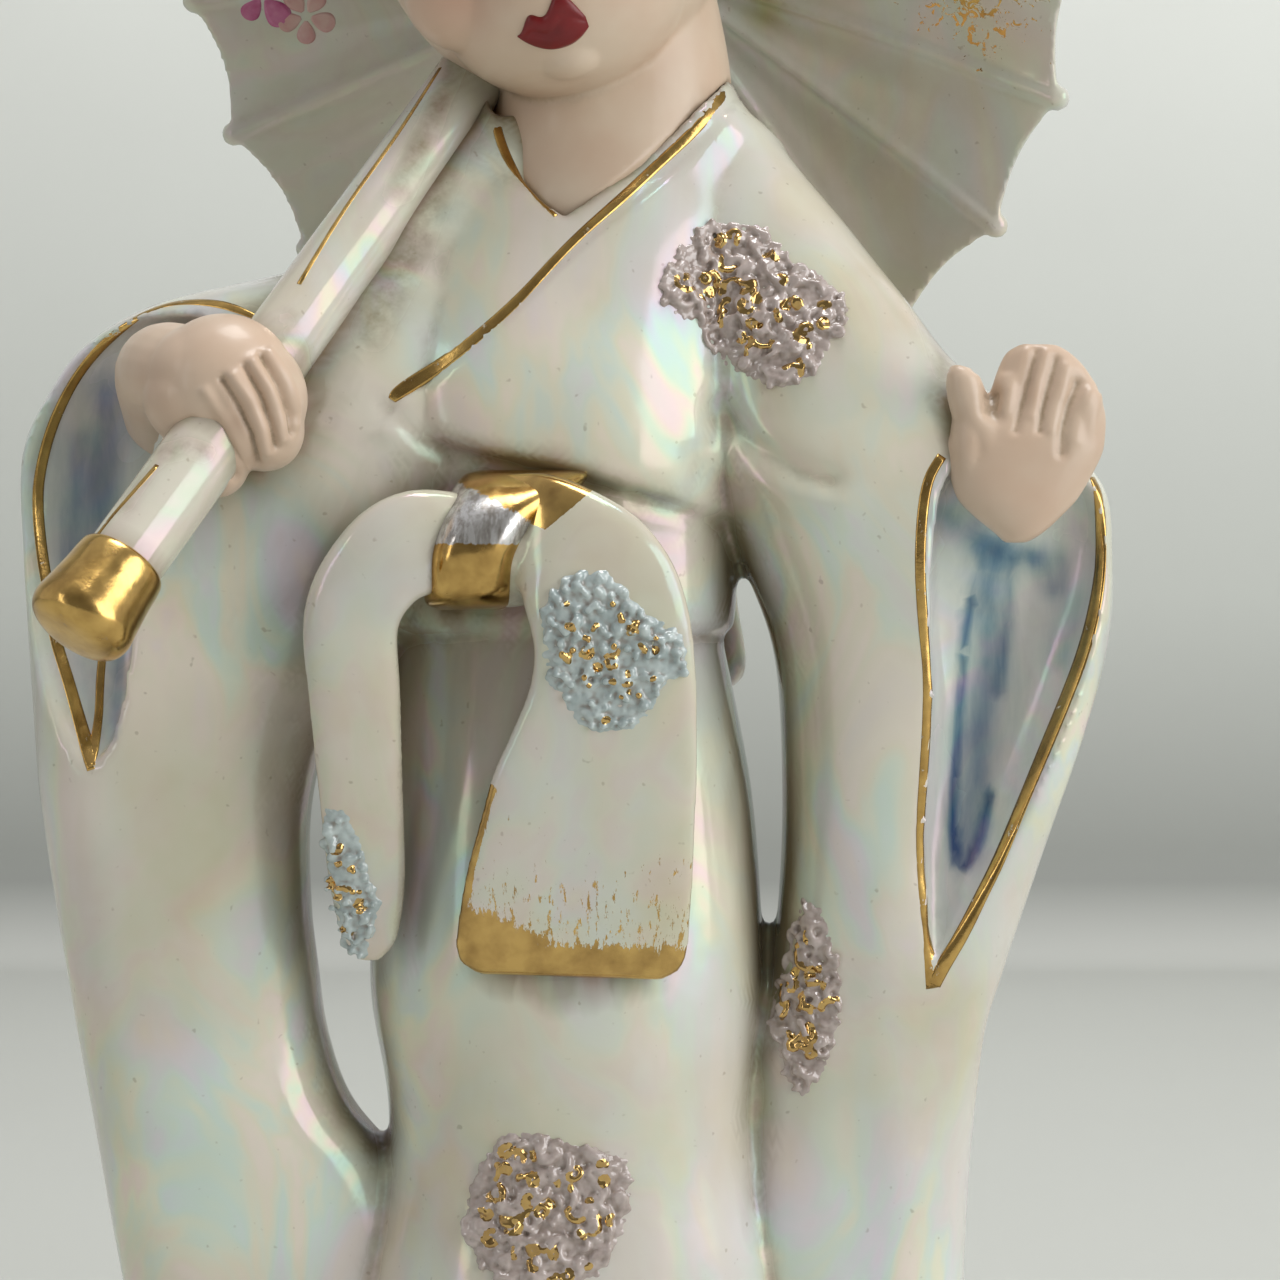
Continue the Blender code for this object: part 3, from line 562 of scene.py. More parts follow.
# The rims of their openings, in the shares that from_shoulder reads
RIGHT_RECESS = (
    (0.672, 1.21, 0.226), (0.637, 1.26, 0.293), (0.640, 1.24, 0.357),
    (0.643, 1.17, 0.414), (0.633, 1.07, 0.500), (0.638, 0.98, 0.567),
    (0.650, 0.90, 0.605), (0.714, 0.81, 0.561), (0.804, 0.74, 0.484),
    (0.892, 0.69, 0.398), (0.952, 0.66, 0.312), (0.939, 0.72, 0.245),
    (0.820, 0.97, 0.220))
LEFT_RECESS = (
    (-0.594, 1.10, 0.131), (-0.715, 0.83, 0.118), (-0.837, 0.69, 0.139),
    (-0.913, 0.66, 0.178), (-0.962, 0.62, 0.236), (-0.967, 0.62, 0.293),
    (-0.944, 0.72, 0.357), (-0.904, 0.90, 0.414), (-0.852, 1.10, 0.455),
    (-0.799, 1.24, 0.401), (-0.776, 1.31, 0.318), (-0.761, 1.34, 0.248),
    (-0.700, 1.31, 0.178))

# Folds of the robe: line in the photograph, reach in pixels and height
FOLDS = (
    (((893, 893), (881, 1007), (901, 1170), (905, 1280)), 34, 0.00055),
    (((729, 420), (757, 448), (799, 473), (830, 482)), 12, -0.00050),
    (((700, 436), (735, 470), (790, 500), (840, 505)), 18, 0.00035),
    (((60, 640), (100, 940), (147, 1252)), 30, 0.00030),
    (((390, 440), (450, 462), (560, 498), (690, 520)), 12, 0.00030),
    (((385, 405), (420, 440), (470, 470)), 12, -0.00030),
    (((640, 500), (690, 512), (706, 440), (712, 405)), 12, -0.00035),
)


def robe_folds(verts, normals):
    """How far the glaze stands out in folds and at the crossed edge."""
    moved = laid_on(pixels_of(verts), FOLDS)
    away = distance_to_edge(verts)
    upper = (verts[:, 2] > 0.138) & (verts[:, 2] < 0.190)
    step = ramp(away, -0.0003, 0.0004) * np.exp(-np.maximum(away, 0) / 0.007)
    moved += np.where(upper, 0.00040 * step, 0)
    moved *= ramp(-normals[:, 1], 0.0, 0.4)
    wave = (np.sin(verts[:, 0] * 310 + 1.7 * np.sin(verts[:, 2] * 95))
            * np.sin(verts[:, 2] * 140 + verts[:, 1] * 260))
    return moved + 0.00006 * wave


def make_robe():
    """Body, blouse, sash band, bow and both sleeves under one skin, flat at the foot."""
    rows = (
        (-0.5 * HEM_HEIGHT, -0.0030, HEM_HALF_WIDTH, 0.0010, HEM_HALF_DEPTH),
        (HEM_HEIGHT, -0.0030, HEM_HALF_WIDTH, 0.0010, HEM_HALF_DEPTH),
        (0.3 * KNEE_HEIGHT, -0.0028, 0.5 * HEM_HALF_WIDTH + 0.6 * KNEE_HALF_WIDTH,
         0.0010, 0.5 * (HEM_HALF_DEPTH + KNEE_HALF_DEPTH)),
        (KNEE_HEIGHT, -0.0013, KNEE_HALF_WIDTH, 0.0, KNEE_HALF_DEPTH),
        (0.5 * (KNEE_HEIGHT + HIP_HEIGHT), -0.0021, KNEE_HALF_WIDTH + 0.0010, 0.0, KNEE_HALF_DEPTH),
        (HIP_HEIGHT, -0.0024, HIP_HALF_WIDTH, 0.0, HIP_HALF_DEPTH),
        (WAIST_HEIGHT, -0.0045, WAIST_HALF_WIDTH, 0.0, WAIST_HALF_DEPTH),
        (CHEST_HEIGHT, -0.0025, CHEST_HALF_WIDTH, -0.0005, CHEST_HALF_DEPTH),
        (SHOULDER_HEIGHT, NECK_X, SHOULDER_HALF_WIDTH, 0.0015, SHOULDER_HALF_DEPTH),
        (COLLAR_HEIGHT - 0.0045, NECK_X, 0.0168, 0.0015, 0.0136),
        (COLLAR_HEIGHT - 0.0010, NECK_X, 0.0150, 0.0015, 0.0130),
        (COLLAR_HEIGHT, NECK_X, 0.0138, 0.0015, 0.0122),
    )
    body = upright_loft("body", rows, 2.1)
    edge = WAIST_HEIGHT + 0.0065
    width = WAIST_HALF_WIDTH + BLOUSE_OVERHANG
    depth = WAIST_HALF_DEPTH + BLOUSE_OVERHANG
    rows = (
        (edge + 0.0006, -0.0040, 0.80 * width, -0.0003, 0.80 * depth, BLOUSE_EDGE_SLOPE),
        (edge, -0.0040, 0.94 * width, -0.0003, 0.94 * depth, BLOUSE_EDGE_SLOPE),
        (edge + 0.0022, -0.0040, width, -0.0005, depth, BLOUSE_EDGE_SLOPE),
        (CHEST_HEIGHT - 0.0040, -0.0030, CHEST_HALF_WIDTH, -0.0008, CHEST_HALF_DEPTH + 0.0014,
         0.5 * BLOUSE_EDGE_SLOPE),
        (SHOULDER_HEIGHT - 0.0060, 0.0, CHEST_HALF_WIDTH - 0.0020, 0.0, CHEST_HALF_DEPTH - 0.0030, 0.0),
        (SHOULDER_HEIGHT + 0.0040, NECK_X, 0.7 * SHOULDER_HALF_WIDTH, 0.0015, 0.7 * SHOULDER_HALF_DEPTH, 0.0),
    )
    blouse = upright_loft("blouse", rows, 2.2)
    neck = skin_rings("neck_cutter", [[Vector((x, y, z)) for x, z in V_NECK] for y in (-0.040, 0.0020)])
    cut(body, neck)
    cut(blouse, neck)
    bpy.data.objects.remove(neck, do_unlink=True)
    rows = []
    for share, extra in ((-1.0, -0.5), (-0.8, 1.0), (0.8, 1.0), (1.0, -0.5)):
        rows.append((WAIST_HEIGHT + share * OBI_HALF_HEIGHT, -0.0040,
                     WAIST_HALF_WIDTH + (1 + extra) * OBI_THICKNESS, 0.0,
                     WAIST_HALF_DEPTH + extra * OBI_THICKNESS))
    band = upright_loft("obi", rows, 2.2)
    rows = []
    for share, width in ((-1.0, 0.75), (-0.75, 1.0), (0.0, 0.95), (0.75, 1.0), (1.0, 0.75)):
        rows.append((WAIST_HEIGHT - 0.0060 + share * BOW_HALF_HEIGHT, -0.0025, BOW_HALF_WIDTH * width,
                     WAIST_HALF_DEPTH + 0.2 * BOW_HALF_DEPTH, BOW_HALF_DEPTH * width))
    bow = upright_loft("bow", rows, 3.0)
    right = make_sleeve("right_sleeve", RIGHT_SLEEVE, RIGHT_RECESS, (0.46, -0.89, 0))
    left = make_sleeve("left_sleeve", LEFT_SLEEVE, LEFT_RECESS, (-0.68, -0.73, 0))
    robe = fuse("robe", [body, blouse, band, bow, right, left], 0.00068, 6, most=190000, shape=robe_folds)
    verts = points_of(robe)
    verts[:, 2] = np.maximum(verts[:, 2], 0.0)
    set_points(robe, verts)
    return robe


def on_head(x, y, z):
    """A place on the head, from its middle: to the right, backwards and up."""
    return HEAD_CENTRE + (FACE_TURN @ Vector((x, y, z)))


def make_face():
    """Neck and face in one, with cheeks, nose, chin and the flat of the eyes."""
    rows = ((0.158, NECK_X, 0.0160, 0.0000, 0.0130), (0.166, NECK_X, 0.0158, 0.0000, 0.0139),
            (0.175, 0.0031, 0.0147, 0.0010, 0.0129), (0.184, 0.0033, 0.0141, 0.0010, 0.0127),
            (0.196, 0.0010, 0.0140, 0.0, 0.0122))
    skull = (HEAD_RADIUS, 0.97 * HEAD_RADIUS, HEAD_HEIGHT_RADIUS)
    pieces = [upright_loft("neck", rows, 2.0), ellipsoid("skull", HEAD_CENTRE, skull, HEAD_TURN),
              ellipsoid("jaw", on_head(0, -0.32 * HEAD_RADIUS, -0.45 * HEAD_HEIGHT_RADIUS),
                        (JAW_RADIUS, 0.92 * JAW_RADIUS, 0.82 * JAW_RADIUS), HEAD_TURN)]
    for side in (-1, 1):
        cheek = on_head(side * 0.0095, -0.0118, -0.0075)
        pieces.append(ellipsoid("cheek", cheek, (0.0078, 0.0066, 0.0072), HEAD_TURN))
    nose = [on_head(0, -0.0196, 0.0010), on_head(0, -0.0207, -0.0040), on_head(0, -0.0213, -0.0080)]
    pieces.append(tube("nose", nose, [0.0010, 0.0014, 0.0019]))
    pieces.append(ellipsoid("nose_tip", on_head(0, -0.0208, -0.0084), (0.0022, 0.0020, 0.0016), HEAD_TURN))
    for side in (-1, 1):
        pieces.append(ellipsoid("nostril", on_head(side * 0.0018, -0.0200, -0.0086),
                                (0.0013, 0.0015, 0.0012), HEAD_TURN))
    pieces.append(ellipsoid("chin", on_head(0, -0.0135, -0.0176), (0.0042, 0.0038, 0.0030), HEAD_TURN))
    turn_back = np.array(FACE_TURN.to_3x3().inverted())

    def features(verts, normals):
        local = (verts - np.array(HEAD_CENTRE)) @ turn_back.T
        moved = np.zeros(len(verts))
        beyond = -inside(np.array(V_NECK) * 1000, verts[:, (0, 2)] * 1000)
        below = (verts[:, 2] < np.where(verts[:, 0] < 0, 0.1765, 0.1822)) & (verts[:, 1] < 0.002)
        moved -= np.where(below, 0.0018 * ramp(beyond, -0.2, 1.2), 0)
        front = ramp(-local[:, 1], 0.004, 0.010)
        for side in (-1, 1):
            away = ((local[:, 0] - side * EYE_X) / 0.0052) ** 2 + ((local[:, 2] - 0.0002) / 0.0034) ** 2
            moved -= 0.0006 * np.exp(-away) * front
            lid = ((local[:, 0] - side * EYE_X) / 0.0036) ** 2 + ((local[:, 2] + 0.0006) / 0.0018) ** 2
            moved += 0.0005 * np.exp(-lid) * front
        return moved

    return fuse("face", pieces, 0.00038, 5, most=60000, shape=features)


def head_patch(name, tree, shape, rows, columns, sunk=0.0004):
    """A closed patch on the face: shape gives x, z and height for shares of the way along and across."""
    top, bottom = [], []
    towards = (FACE_TURN @ Vector((0, 1, 0))).normalized()
    for row in range(rows + 1):
        for column in range(columns + 1):
            x, z, height = shape(-1 + 2 * row / rows, -1 + 2 * column / columns)
            place, normal, _, _ = tree.ray_cast(on_head(x, -0.06, z), towards)
            if place is None:
                place, normal, _, _ = tree.find_nearest(on_head(x, -0.02, z))
            top.append(place + normal * height)
            bottom.append(place - normal * sunk)
    count = (rows + 1) * (columns + 1)
    faces = []
    for row in range(rows):
        for column in range(columns):
            low = row * (columns + 1) + column
            quad = (low, low + 1, low + columns + 2, low + columns + 1)
            faces.append(quad)
            faces.append(tuple(count + index for index in reversed(quad)))
    border = ([row * (columns + 1) for row in range(rows + 1)]
              + [rows * (columns + 1) + column for column in range(1, columns + 1)]
              + [row * (columns + 1) + columns for row in range(rows - 1, -1, -1)]
              + [column for column in range(columns - 1, 0, -1)])
    for start, end in zip(border, border[1:] + border[:1]):
        faces.append((start, end, count + end, count + start))
    made = outward(mesh_object(name, top + bottom, faces))
    smooth_shading(made)
    return made


def lips_shape(along, across):
    """Small painted lips: two lobes above with a dip between, one round lobe below."""
    low = -0.0147 - 0.0024 * max(0.0, 1 - (abs(along - 0.12) / 1.12) ** 2.2)
    lobes = (0.0014 * math.exp(-((along + 0.50) / 0.30) ** 2)
             + 0.0023 * math.exp(-((along - 0.45) / 0.42) ** 2) + 0.0006)
    high = -0.0147 + (lobes + 0.0006 * along) * (1 - abs(along) ** 6) + 0.0001
    share = 0.5 * (across + 1)
    groove = 0.00022 * math.exp(-((share - 0.52) / 0.10) ** 2)
    height = (0.00062 * math.sqrt(max(0.0, 1 - across ** 2)) - groove) * (1 - along ** 4) + 0.00008
    return along * 0.0040 - 0.0006, low + share * max(high - low, 0.0001), height


def eye_line(side):
    """The shape of a closed lid's painted line."""
    def shape(along, across):
        x = side * (EYE_X + along * 0.0036)
        z = -0.0010 - 0.0010 * (1 - along ** 2) + 0.0007 * along
        width = 0.00032 * (1 - 0.8 * abs(along) ** 3) * (1 + 0.4 * along)
        return x, z + across * width, 0.00009
    return shape


def brow_line(side):
    """The shape of a painted brow."""
    def shape(along, across):
        x = side * (0.0080 + along * 0.0040)
        z = 0.0052 + 0.0011 * (1 - along ** 2) - 0.0004 * along
        width = 0.00036 * (1 - 0.85 * abs(along) ** 2.5)
        return x, z + across * width, 0.00009
    return shape


def make_hair():
    """Swept-up black hair with combed grooves, and a coiled bun."""
    crown = on_head(0, HAIR_BACK, HAIR_RISE)
    bun_centre = crown + HEAD_TURN @ Vector((0, 0.03 * HAIR_RADIUS, 0.86 * HAIR_RADIUS))
    pieces = [ellipsoid("crown", crown, (HAIR_RADIUS, 0.86 * HAIR_RADIUS, 0.84 * HAIR_RADIUS), HEAD_TURN),
              ellipsoid("bun", bun_centre, (BUN_RADIUS, 0.9 * BUN_RADIUS, 0.65 * BUN_RADIUS), HEAD_TURN)]
    for side in (-1, 1):
        pieces.append(ellipsoid("wing", on_head(side * 0.0165, 0.0055, 0.0030),
                                (0.0068, 0.0120, 0.0098), HEAD_TURN))
    pieces.append(ellipsoid("nape", on_head(0.0, 0.0125, -0.0045), (0.0150, 0.0090, 0.0120), HEAD_TURN))
    turn_back = np.array(FACE_TURN.to_3x3().inverted())

    def combed(verts, normals):
        local = (verts - np.array(HEAD_CENTRE)) @ turn_back.T
        angle = np.arctan2(local[:, 1] - HAIR_BACK, local[:, 0])
        grooves = np.sin(58 * angle + 2.2 * np.sin(3 * angle)) * 0.6 + np.sin(91 * angle) * 0.4
        flat = np.hypot(local[:, 0], local[:, 1] - HAIR_BACK)
        low = ramp(flat, 0.004, 0.010) * (1 - ramp(local[:, 2], 0.0275, 0.0290))
        top = local - np.array((0, HAIR_BACK + 0.0007, HAIR_RISE + 0.86 * HAIR_RADIUS))
        swirl = np.arctan2(top[:, 1], top[:, 0])
        coil = np.sin(9 * swirl + np.hypot(top[:, 0], top[:, 1]) * 900)
        high = ramp(local[:, 2], 0.0285, 0.0300) * ramp(np.hypot(top[:, 0], top[:, 1]), 0.0, 0.0025)
        return 0.00017 * grooves * low + 0.00020 * coil * high

    return fuse("hair", pieces, 0.00042, 4, most=50000, shape=combed)


def make_wrap():
    """The gilt strap around the knot: full in front, narrower below than above."""
    rows = ((0.1186, -0.0126, 0.0036, -0.0205, 0.0040), (0.1193, -0.0125, 0.0049, -0.0208, 0.0060),
            (0.1212, -0.0122, 0.0053, -0.0212, 0.0077), (0.1245, -0.0117, 0.0055, -0.0214, 0.0086),
            (0.1278, -0.0104, 0.0059, -0.0212, 0.0084), (0.1305, -0.0086, 0.0066, -0.0208, 0.0072),
            (0.1325, -0.0071, 0.0071, -0.0203, 0.0054), (0.1338, -0.0062, 0.0070, -0.0198, 0.0032),
            (0.1343, -0.0060, 0.0060, -0.0195, 0.0014))
    wrap = fuse("knot_wrap", [upright_loft("wrap", rows, 2.8)], 0.00030, 4, most=24000)
    points = points_of(wrap)
    top = 0.1330 - 0.534 * (points[:, 0] + 0.0134)
    silver = ramp(points[:, 2], 0.1250, 0.1262) * (1 - ramp(points[:, 2] - top, -0.0016, 0.0010))
    paint(wrap, "silver", silver)
    return wrap


# The broad tail: left edge and right edge in the photograph, depth in millimetres and fullness
TAIL_EDGES = (
    (486, 556, 500, 474, -22.5, 1.0), (505, 572, 548, 474, -24.8, 1.25), (519, 590, 596, 492, -26.6, 1.3),
    (525, 610, 640, 520, -27.6, 1.3), (531, 632, 672, 562, -28.0, 1.25), (534, 656, 689, 612, -27.6, 1.2),
    (529, 690, 696, 672, -26.8, 1.1), (513, 730, 697, 725, -26.0, 1.05), (493, 775, 697, 775, -25.1, 1.0),
    (479, 825, 695, 828, -24.1, 1.0), (467, 870, 693, 876, -23.0, 1.0), (459, 915, 690, 922, -21.8, 1.0),
    (456, 944, 687, 952, -20.9, 0.95), (461, 962, 679, 970, -20.5, 0.8), (478, 974, 662, 980, -20.3, 0.45))


def make_sash():
    """The knot and both tails of the sash in front."""
    knot = from_waist(-0.42, 0.30, 0.060)
    pieces = [ellipsoid("knot", knot, (0.9 * KNOT_RADIUS, 0.80 * KNOT_DEPTH, 0.72 * KNOT_RADIUS))]
    half = 0.5 * TAIL_THICKNESS
    left = (
        (-0.61, 0.42, 0.039, 0.27, 1.3), (-0.93, 0.55, 0.043, 0.30, 1.3),
        (-1.15, 0.57, 0.102, 0.28, 1.2), (-1.29, 0.52, 0.208, 0.27, 1.1),
        (-1.28, 0.42, 0.373, 0.26, 1.0), (-1.26, 0.24, 0.588, 0.24, 1.0),
        (-1.24, 0.06, 0.784, 0.22, 1.0), (-1.23, -0.03, 0.912, 0.16, 0.9),
        (-1.23, -0.05, 0.965, 0.06, 0.5))
    placed = [(*from_waist(side, front, down), width * WAIST_HALF_WIDTH, half * swell)
              for side, front, down, width, swell in left]
    pieces.append(ribbon("left_tail", placed, 2.6))
    rings = []
    rows = smooth_rows(TAIL_EDGES, SPAN_STEPS)
    for left_x, left_y, right_x, right_y, depth, swell in rows:
        one, other = seen_at(left_x, left_y, depth / 1000), seen_at(right_x, right_y, depth / 1000)
        middle = 0.5 * (one + other)
        lean = 0.22 if left_y > 660 else 0.22 * max(0.0, (left_y - 560) / 100)
        rings.append(oval(middle, 0.5 * (other - one), Vector((0, -half * swell, lean * half * swell)), 2.8))
    pieces.append(skin_rings("right_tail", rings))
    return fuse("sash", pieces, 0.00040, 4, most=70000)


def handle_point(share):
    """A place on the straight parasol handle: 0 at the cap's middle, 1 beside the neck."""
    low = from_shoulder(-0.776, 2.62, 0.329)
    high = from_shoulder(-0.213, 0.14, -0.066)
    return low.lerp(high, share)


ALONG = (handle_point(1) - handle_point(0)).normalized()


def make_handle():
    """The parasol's handle and the gold cap over its lower end."""
    handle = tube("handle", [handle_point(share) for share in (0.02, 0.5, 1.0, 1.35)], [HANDLE_RADIUS] * 4,
                  sides=48, steps=24)
    start = handle_point(0) - ALONG * 0.46 * CAP_LENGTH
    profile = ((0.000, 0.22), (0.006, 0.45), (0.024, 0.66), (0.056, 0.80), (0.10, 0.90), (0.17, 0.965),
               (0.26, 0.985), (0.40, 0.95), (0.66, 0.89), (0.86, 0.86), (0.94, 0.82), (0.97, 0.72))
    cap = tube("cap", [start + ALONG * CAP_LENGTH * share for share, width in profile],
               [0.94 * CAP_RADIUS * width for share, width in profile], sides=64, steps=4)
    return handle, cap


# The canopy's middle, and its directions: back along its axis, up and right
CANOPY_MIDDLE = from_shoulder(0.064, -1.31, -0.181)
CANOPY_BACK = Vector((0.20, 0.90, 0.39)).normalized()
CANOPY_UP = (Vector((0, 0, 1)) - CANOPY_BACK * CANOPY_BACK.z).normalized()
CANOPY_RIGHT = CANOPY_BACK.cross(CANOPY_UP)


def canopy_point(ring, angle):
    """A place on the canopy's middle surface: ring 0 at the hub, 1 at the rim."""
    phase = (angle * CANOPY_RIBS / (2 * math.pi)) % 1.0
    between = math.sin(math.pi * phase)
    radius = ring * (CANOPY_RADIUS - SCALLOP_DEPTH * between * ring ** 6)
    depth = CANOPY_RISE * (1 - ring ** 2) + RIB_HEIGHT * between * min(1.0, 3 * ring)
    outwards = CANOPY_RIGHT * math.cos(angle) + CANOPY_UP * math.sin(angle)
    return CANOPY_MIDDLE + outwards * radius + CANOPY_BACK * depth


def make_canopy():
    """A scalloped shell with a rib and a round tip at each scallop's end, the hub and a finial."""
    steps_round = CANOPY_RIBS * 12
    rings = 44
    verts, faces = [], []
    half = 0.5 * CANOPY_THICKNESS
    for face_side in (-1, 1):
        for level in range(rings + 1):
            ring = max(level / rings, 0.004)
            for step in range(steps_round):
                verts.append(canopy_point(ring, 2 * math.pi * step / steps_round)
                             + CANOPY_BACK * half * face_side)
    layer = (rings + 1) * steps_round
    for level in range(rings):
        for step in range(steps_round):
            after = (step + 1) % steps_round
            low = level * steps_round
            quad = (low + step, low + after, low + steps_round + after, low + steps_round + step)
            faces.append(tuple(reversed(quad)))
            faces.append(tuple(layer + index for index in quad))
    rim = rings * steps_round
    for step in range(steps_round):
        after = (step + 1) % steps_round
        faces.append((rim + step, rim + after, layer + rim + after, layer + rim + step))
    faces.append(tuple(range(steps_round)))
    faces.append(tuple(layer + index for index in reversed(range(steps_round))))
    pieces = [outward(mesh_object("canopy", verts, faces))]
    for rib in range(CANOPY_RIBS):
        tip = canopy_point(1.0, 2 * math.pi * rib / CANOPY_RIBS)
        pieces.append(ellipsoid("rib_tip", tip, [RIB_TIP_RADIUS] * 3, segments=20))
        line = [canopy_point(ring, 2 * math.pi * rib / CANOPY_RIBS) - CANOPY_BACK * half * 0.85
                for ring in (0.12, 0.35, 0.6, 0.8, 0.93, 1.0)]
        pieces.append(tube("rib", line, [0.0004, 0.0006, 0.0007, 0.0008, 0.0009, 0.0009], sides=10, steps=6))
    hub_end = canopy_point(0.0, 0.0)
    nape = HEAD_CENTRE + Vector((0, 0.4 * HEAD_RADIUS, 0))
    pieces.append(tube("hub", [nape, nape.lerp(hub_end, 0.6), hub_end + CANOPY_BACK * 0.001],
                       [HUB_RADIUS * 1.4, HUB_RADIUS, HUB_RADIUS * 0.8]))
    pieces.append(ellipsoid("finial", hub_end + CANOPY_BACK * 0.0004, (0.0038, 0.0018, 0.0038)))
    return fuse("canopy", pieces, 0.00050, 2, most=130000)


# The gripping hand: lines through the photograph with reach in pixels and height
GRIP_LINES = (
    (((206, 392), (224, 418), (240, 448), (248, 470)), 6, 0.00040),
    (((233, 376), (251, 402), (262, 430), (267, 452)), 6, 0.00045),
    (((253, 363), (269, 388), (280, 418), (283, 438)), 6, 0.00045),
    (((270, 352), (288, 378), (298, 405), (299, 424)), 6, 0.00040),
    (((222, 379), (236, 402), (251, 434), (258, 462)), 3.6, -0.00062),
    (((245, 366), (261, 395), (272, 424), (276, 446)), 3.6, -0.00060),
    (((262, 356), (279, 385), (290, 415), (292, 432)), 3.6, -0.00056),
    (((192, 424), (208, 438), (226, 456), (236, 476)), 5.0, -0.00090),
)


def fingers(lines):
    """The relief of a hand: how far its fingers stand out between its grooves, towards the viewer."""
    def relief(verts, normals):
        return laid_on(pixels_of(verts), lines) * ramp(-normals[:, 1], 0.05, 0.45)
    return relief


def make_gripping_hand():
    """The hand around the handle, placed over the photograph's."""
    grip = handle_point(0.337)
    wrist = [from_shoulder(-0.731, 0.50, 0.185), seen_at(165, 372, grip.y + 0.0052),
             seen_at(208, 386, grip.y + 0.0006)]
    tilt = Matrix.Rotation(math.radians(-34), 4, "Y")
    pieces = [tube("left_wrist", wrist, [1.15 * WRIST_RADIUS, 1.05 * WRIST_RADIUS, 1.15 * WRIST_RADIUS]),
              ellipsoid("back", seen_at(224, 386, grip.y + 0.0002), (0.0080, 0.0068, 0.0080)),
              ellipsoid("knuckles", seen_at(246, 394, grip.y + 0.0000), (0.0066, 0.0068, 0.0072), tilt),
              ellipsoid("fingers", seen_at(256, 420, grip.y + 0.0000), (0.0050, 0.0064, 0.0060), tilt),
              ellipsoid("heel", seen_at(196, 398, grip.y + 0.0006), (0.0058, 0.0062, 0.0056)),
              ellipsoid("bridge", seen_at(204, 376, grip.y + 0.0004), (0.0064, 0.0062, 0.0058)),
              ellipsoid("under", seen_at(218, 456, grip.y - 0.0006), (0.0036, 0.0054, 0.0046))]
    return fuse("left_hand", pieces, 0.00026, 16, most=45000, shape=fingers(GRIP_LINES))


# The raised hand: the same kind of lines
PALM_LINES = (
    (((1036, 352), (1030, 375), (1022, 405), (1016, 430)), 4.5, -0.00034),
    (((1056, 360), (1049, 385), (1042, 412), (1040, 430)), 4.5, -0.00034),
    (((1078, 383), (1069, 405), (1063, 430), (1062, 452)), 6.0, -0.00044),
    (((993, 396), (990, 410)), 10, -0.00070),
    (((1026, 350), (1014, 380), (1004, 410)), 7, 0.00022),
    (((1046, 352), (1039, 380), (1032, 415)), 6, 0.00022),
    (((1067, 368), (1058, 395), (1052, 430)), 6, 0.00022),
    (((1091, 388), (1081, 410), (1076, 440)), 7, 0.00022),
)


def hand_place(side, front, up):
    """A place on the raised hand: shares of its half width and length, and metres towards the viewer."""
    heel = from_shoulder(0.812, 1.19, 0.285)
    return heel + Vector((side * HAND_HALF_WIDTH, -front, up * HAND_LENGTH))


def make_raised_hand():
    """The flat hand in front of the right sleeve."""
    # Rows of the palm: the way up, its two edges and its share of the thickness
    rows = (
        (0.0, -0.28, 0.0, 0.4), (0.05, -0.41, 0.21, 0.7), (0.145, -0.70, 0.47, 0.95),
        (0.24, -0.90, 0.68, 1.0), (0.43, -1.01, 0.94, 1.0), (0.54, -0.97, 0.99, 0.95),
        (0.645, -0.62, 0.99, 0.80), (0.76, -0.46, 0.90, 0.66), (0.87, -0.36, 0.74, 0.56),
        (0.945, -0.26, 0.55, 0.46), (0.985, -0.10, 0.38, 0.28))
    palm = []
    for up, low, high, share in rows:
        middle = hand_place(0.5 * (low + high), 0.0, up)
        palm.append((middle.z, middle.x, 0.5 * (high - low) * HAND_HALF_WIDTH, middle.y,
                     PALM_HALF_THICKNESS * share))
    pieces = [upright_loft("right_palm", palm, 2.2)]
    thumb = [hand_place(-0.43, 0.0005, 0.43), hand_place(-0.72, 0.0010, 0.67),
             hand_place(-0.83, 0.0014, 0.82), hand_place(-0.81, 0.0014, 0.87)]
    pieces.append(tube("right_thumb", thumb, [1.5 * FINGER_RADIUS, 1.25 * FINGER_RADIUS, FINGER_RADIUS,
                                              0.5 * FINGER_RADIUS]))
    pieces.append(ellipsoid("thumb_web", hand_place(-0.46, 0.0004, 0.52), (0.0024, 0.0022, 0.0034)))
    pieces.append(ellipsoid("thumb_root", hand_place(-0.73, 0.0004, 0.50), (0.0022, 0.0028, 0.0058)))
    for finger, tip in enumerate((0.90, 1.00, 0.96, 0.82)):
        side = -0.37 + 0.345 * finger
        points = [hand_place(side, 0.0006, 0.39), hand_place(side + 0.07, 0.0010, 0.66),
                  hand_place(side + 0.13, 0.0004, tip - 0.95 * FINGER_RADIUS / HAND_LENGTH)]
        radii = [0.9 * FINGER_RADIUS, 0.92 * FINGER_RADIUS, 0.80 * FINGER_RADIUS]
        pieces.append(tube("raised_finger", points, radii))
    wrist = [hand_place(-0.05, -0.0010, 0.30), from_shoulder(0.756, 0.41, 0.229),
             from_shoulder(0.643, 0.14, 0.204)]
    pieces.append(tube("right_wrist", wrist, [WRIST_RADIUS] * 3))
    return fuse("right_hand", pieces, 0.00028, 12, most=45000, shape=fingers(PALM_LINES))


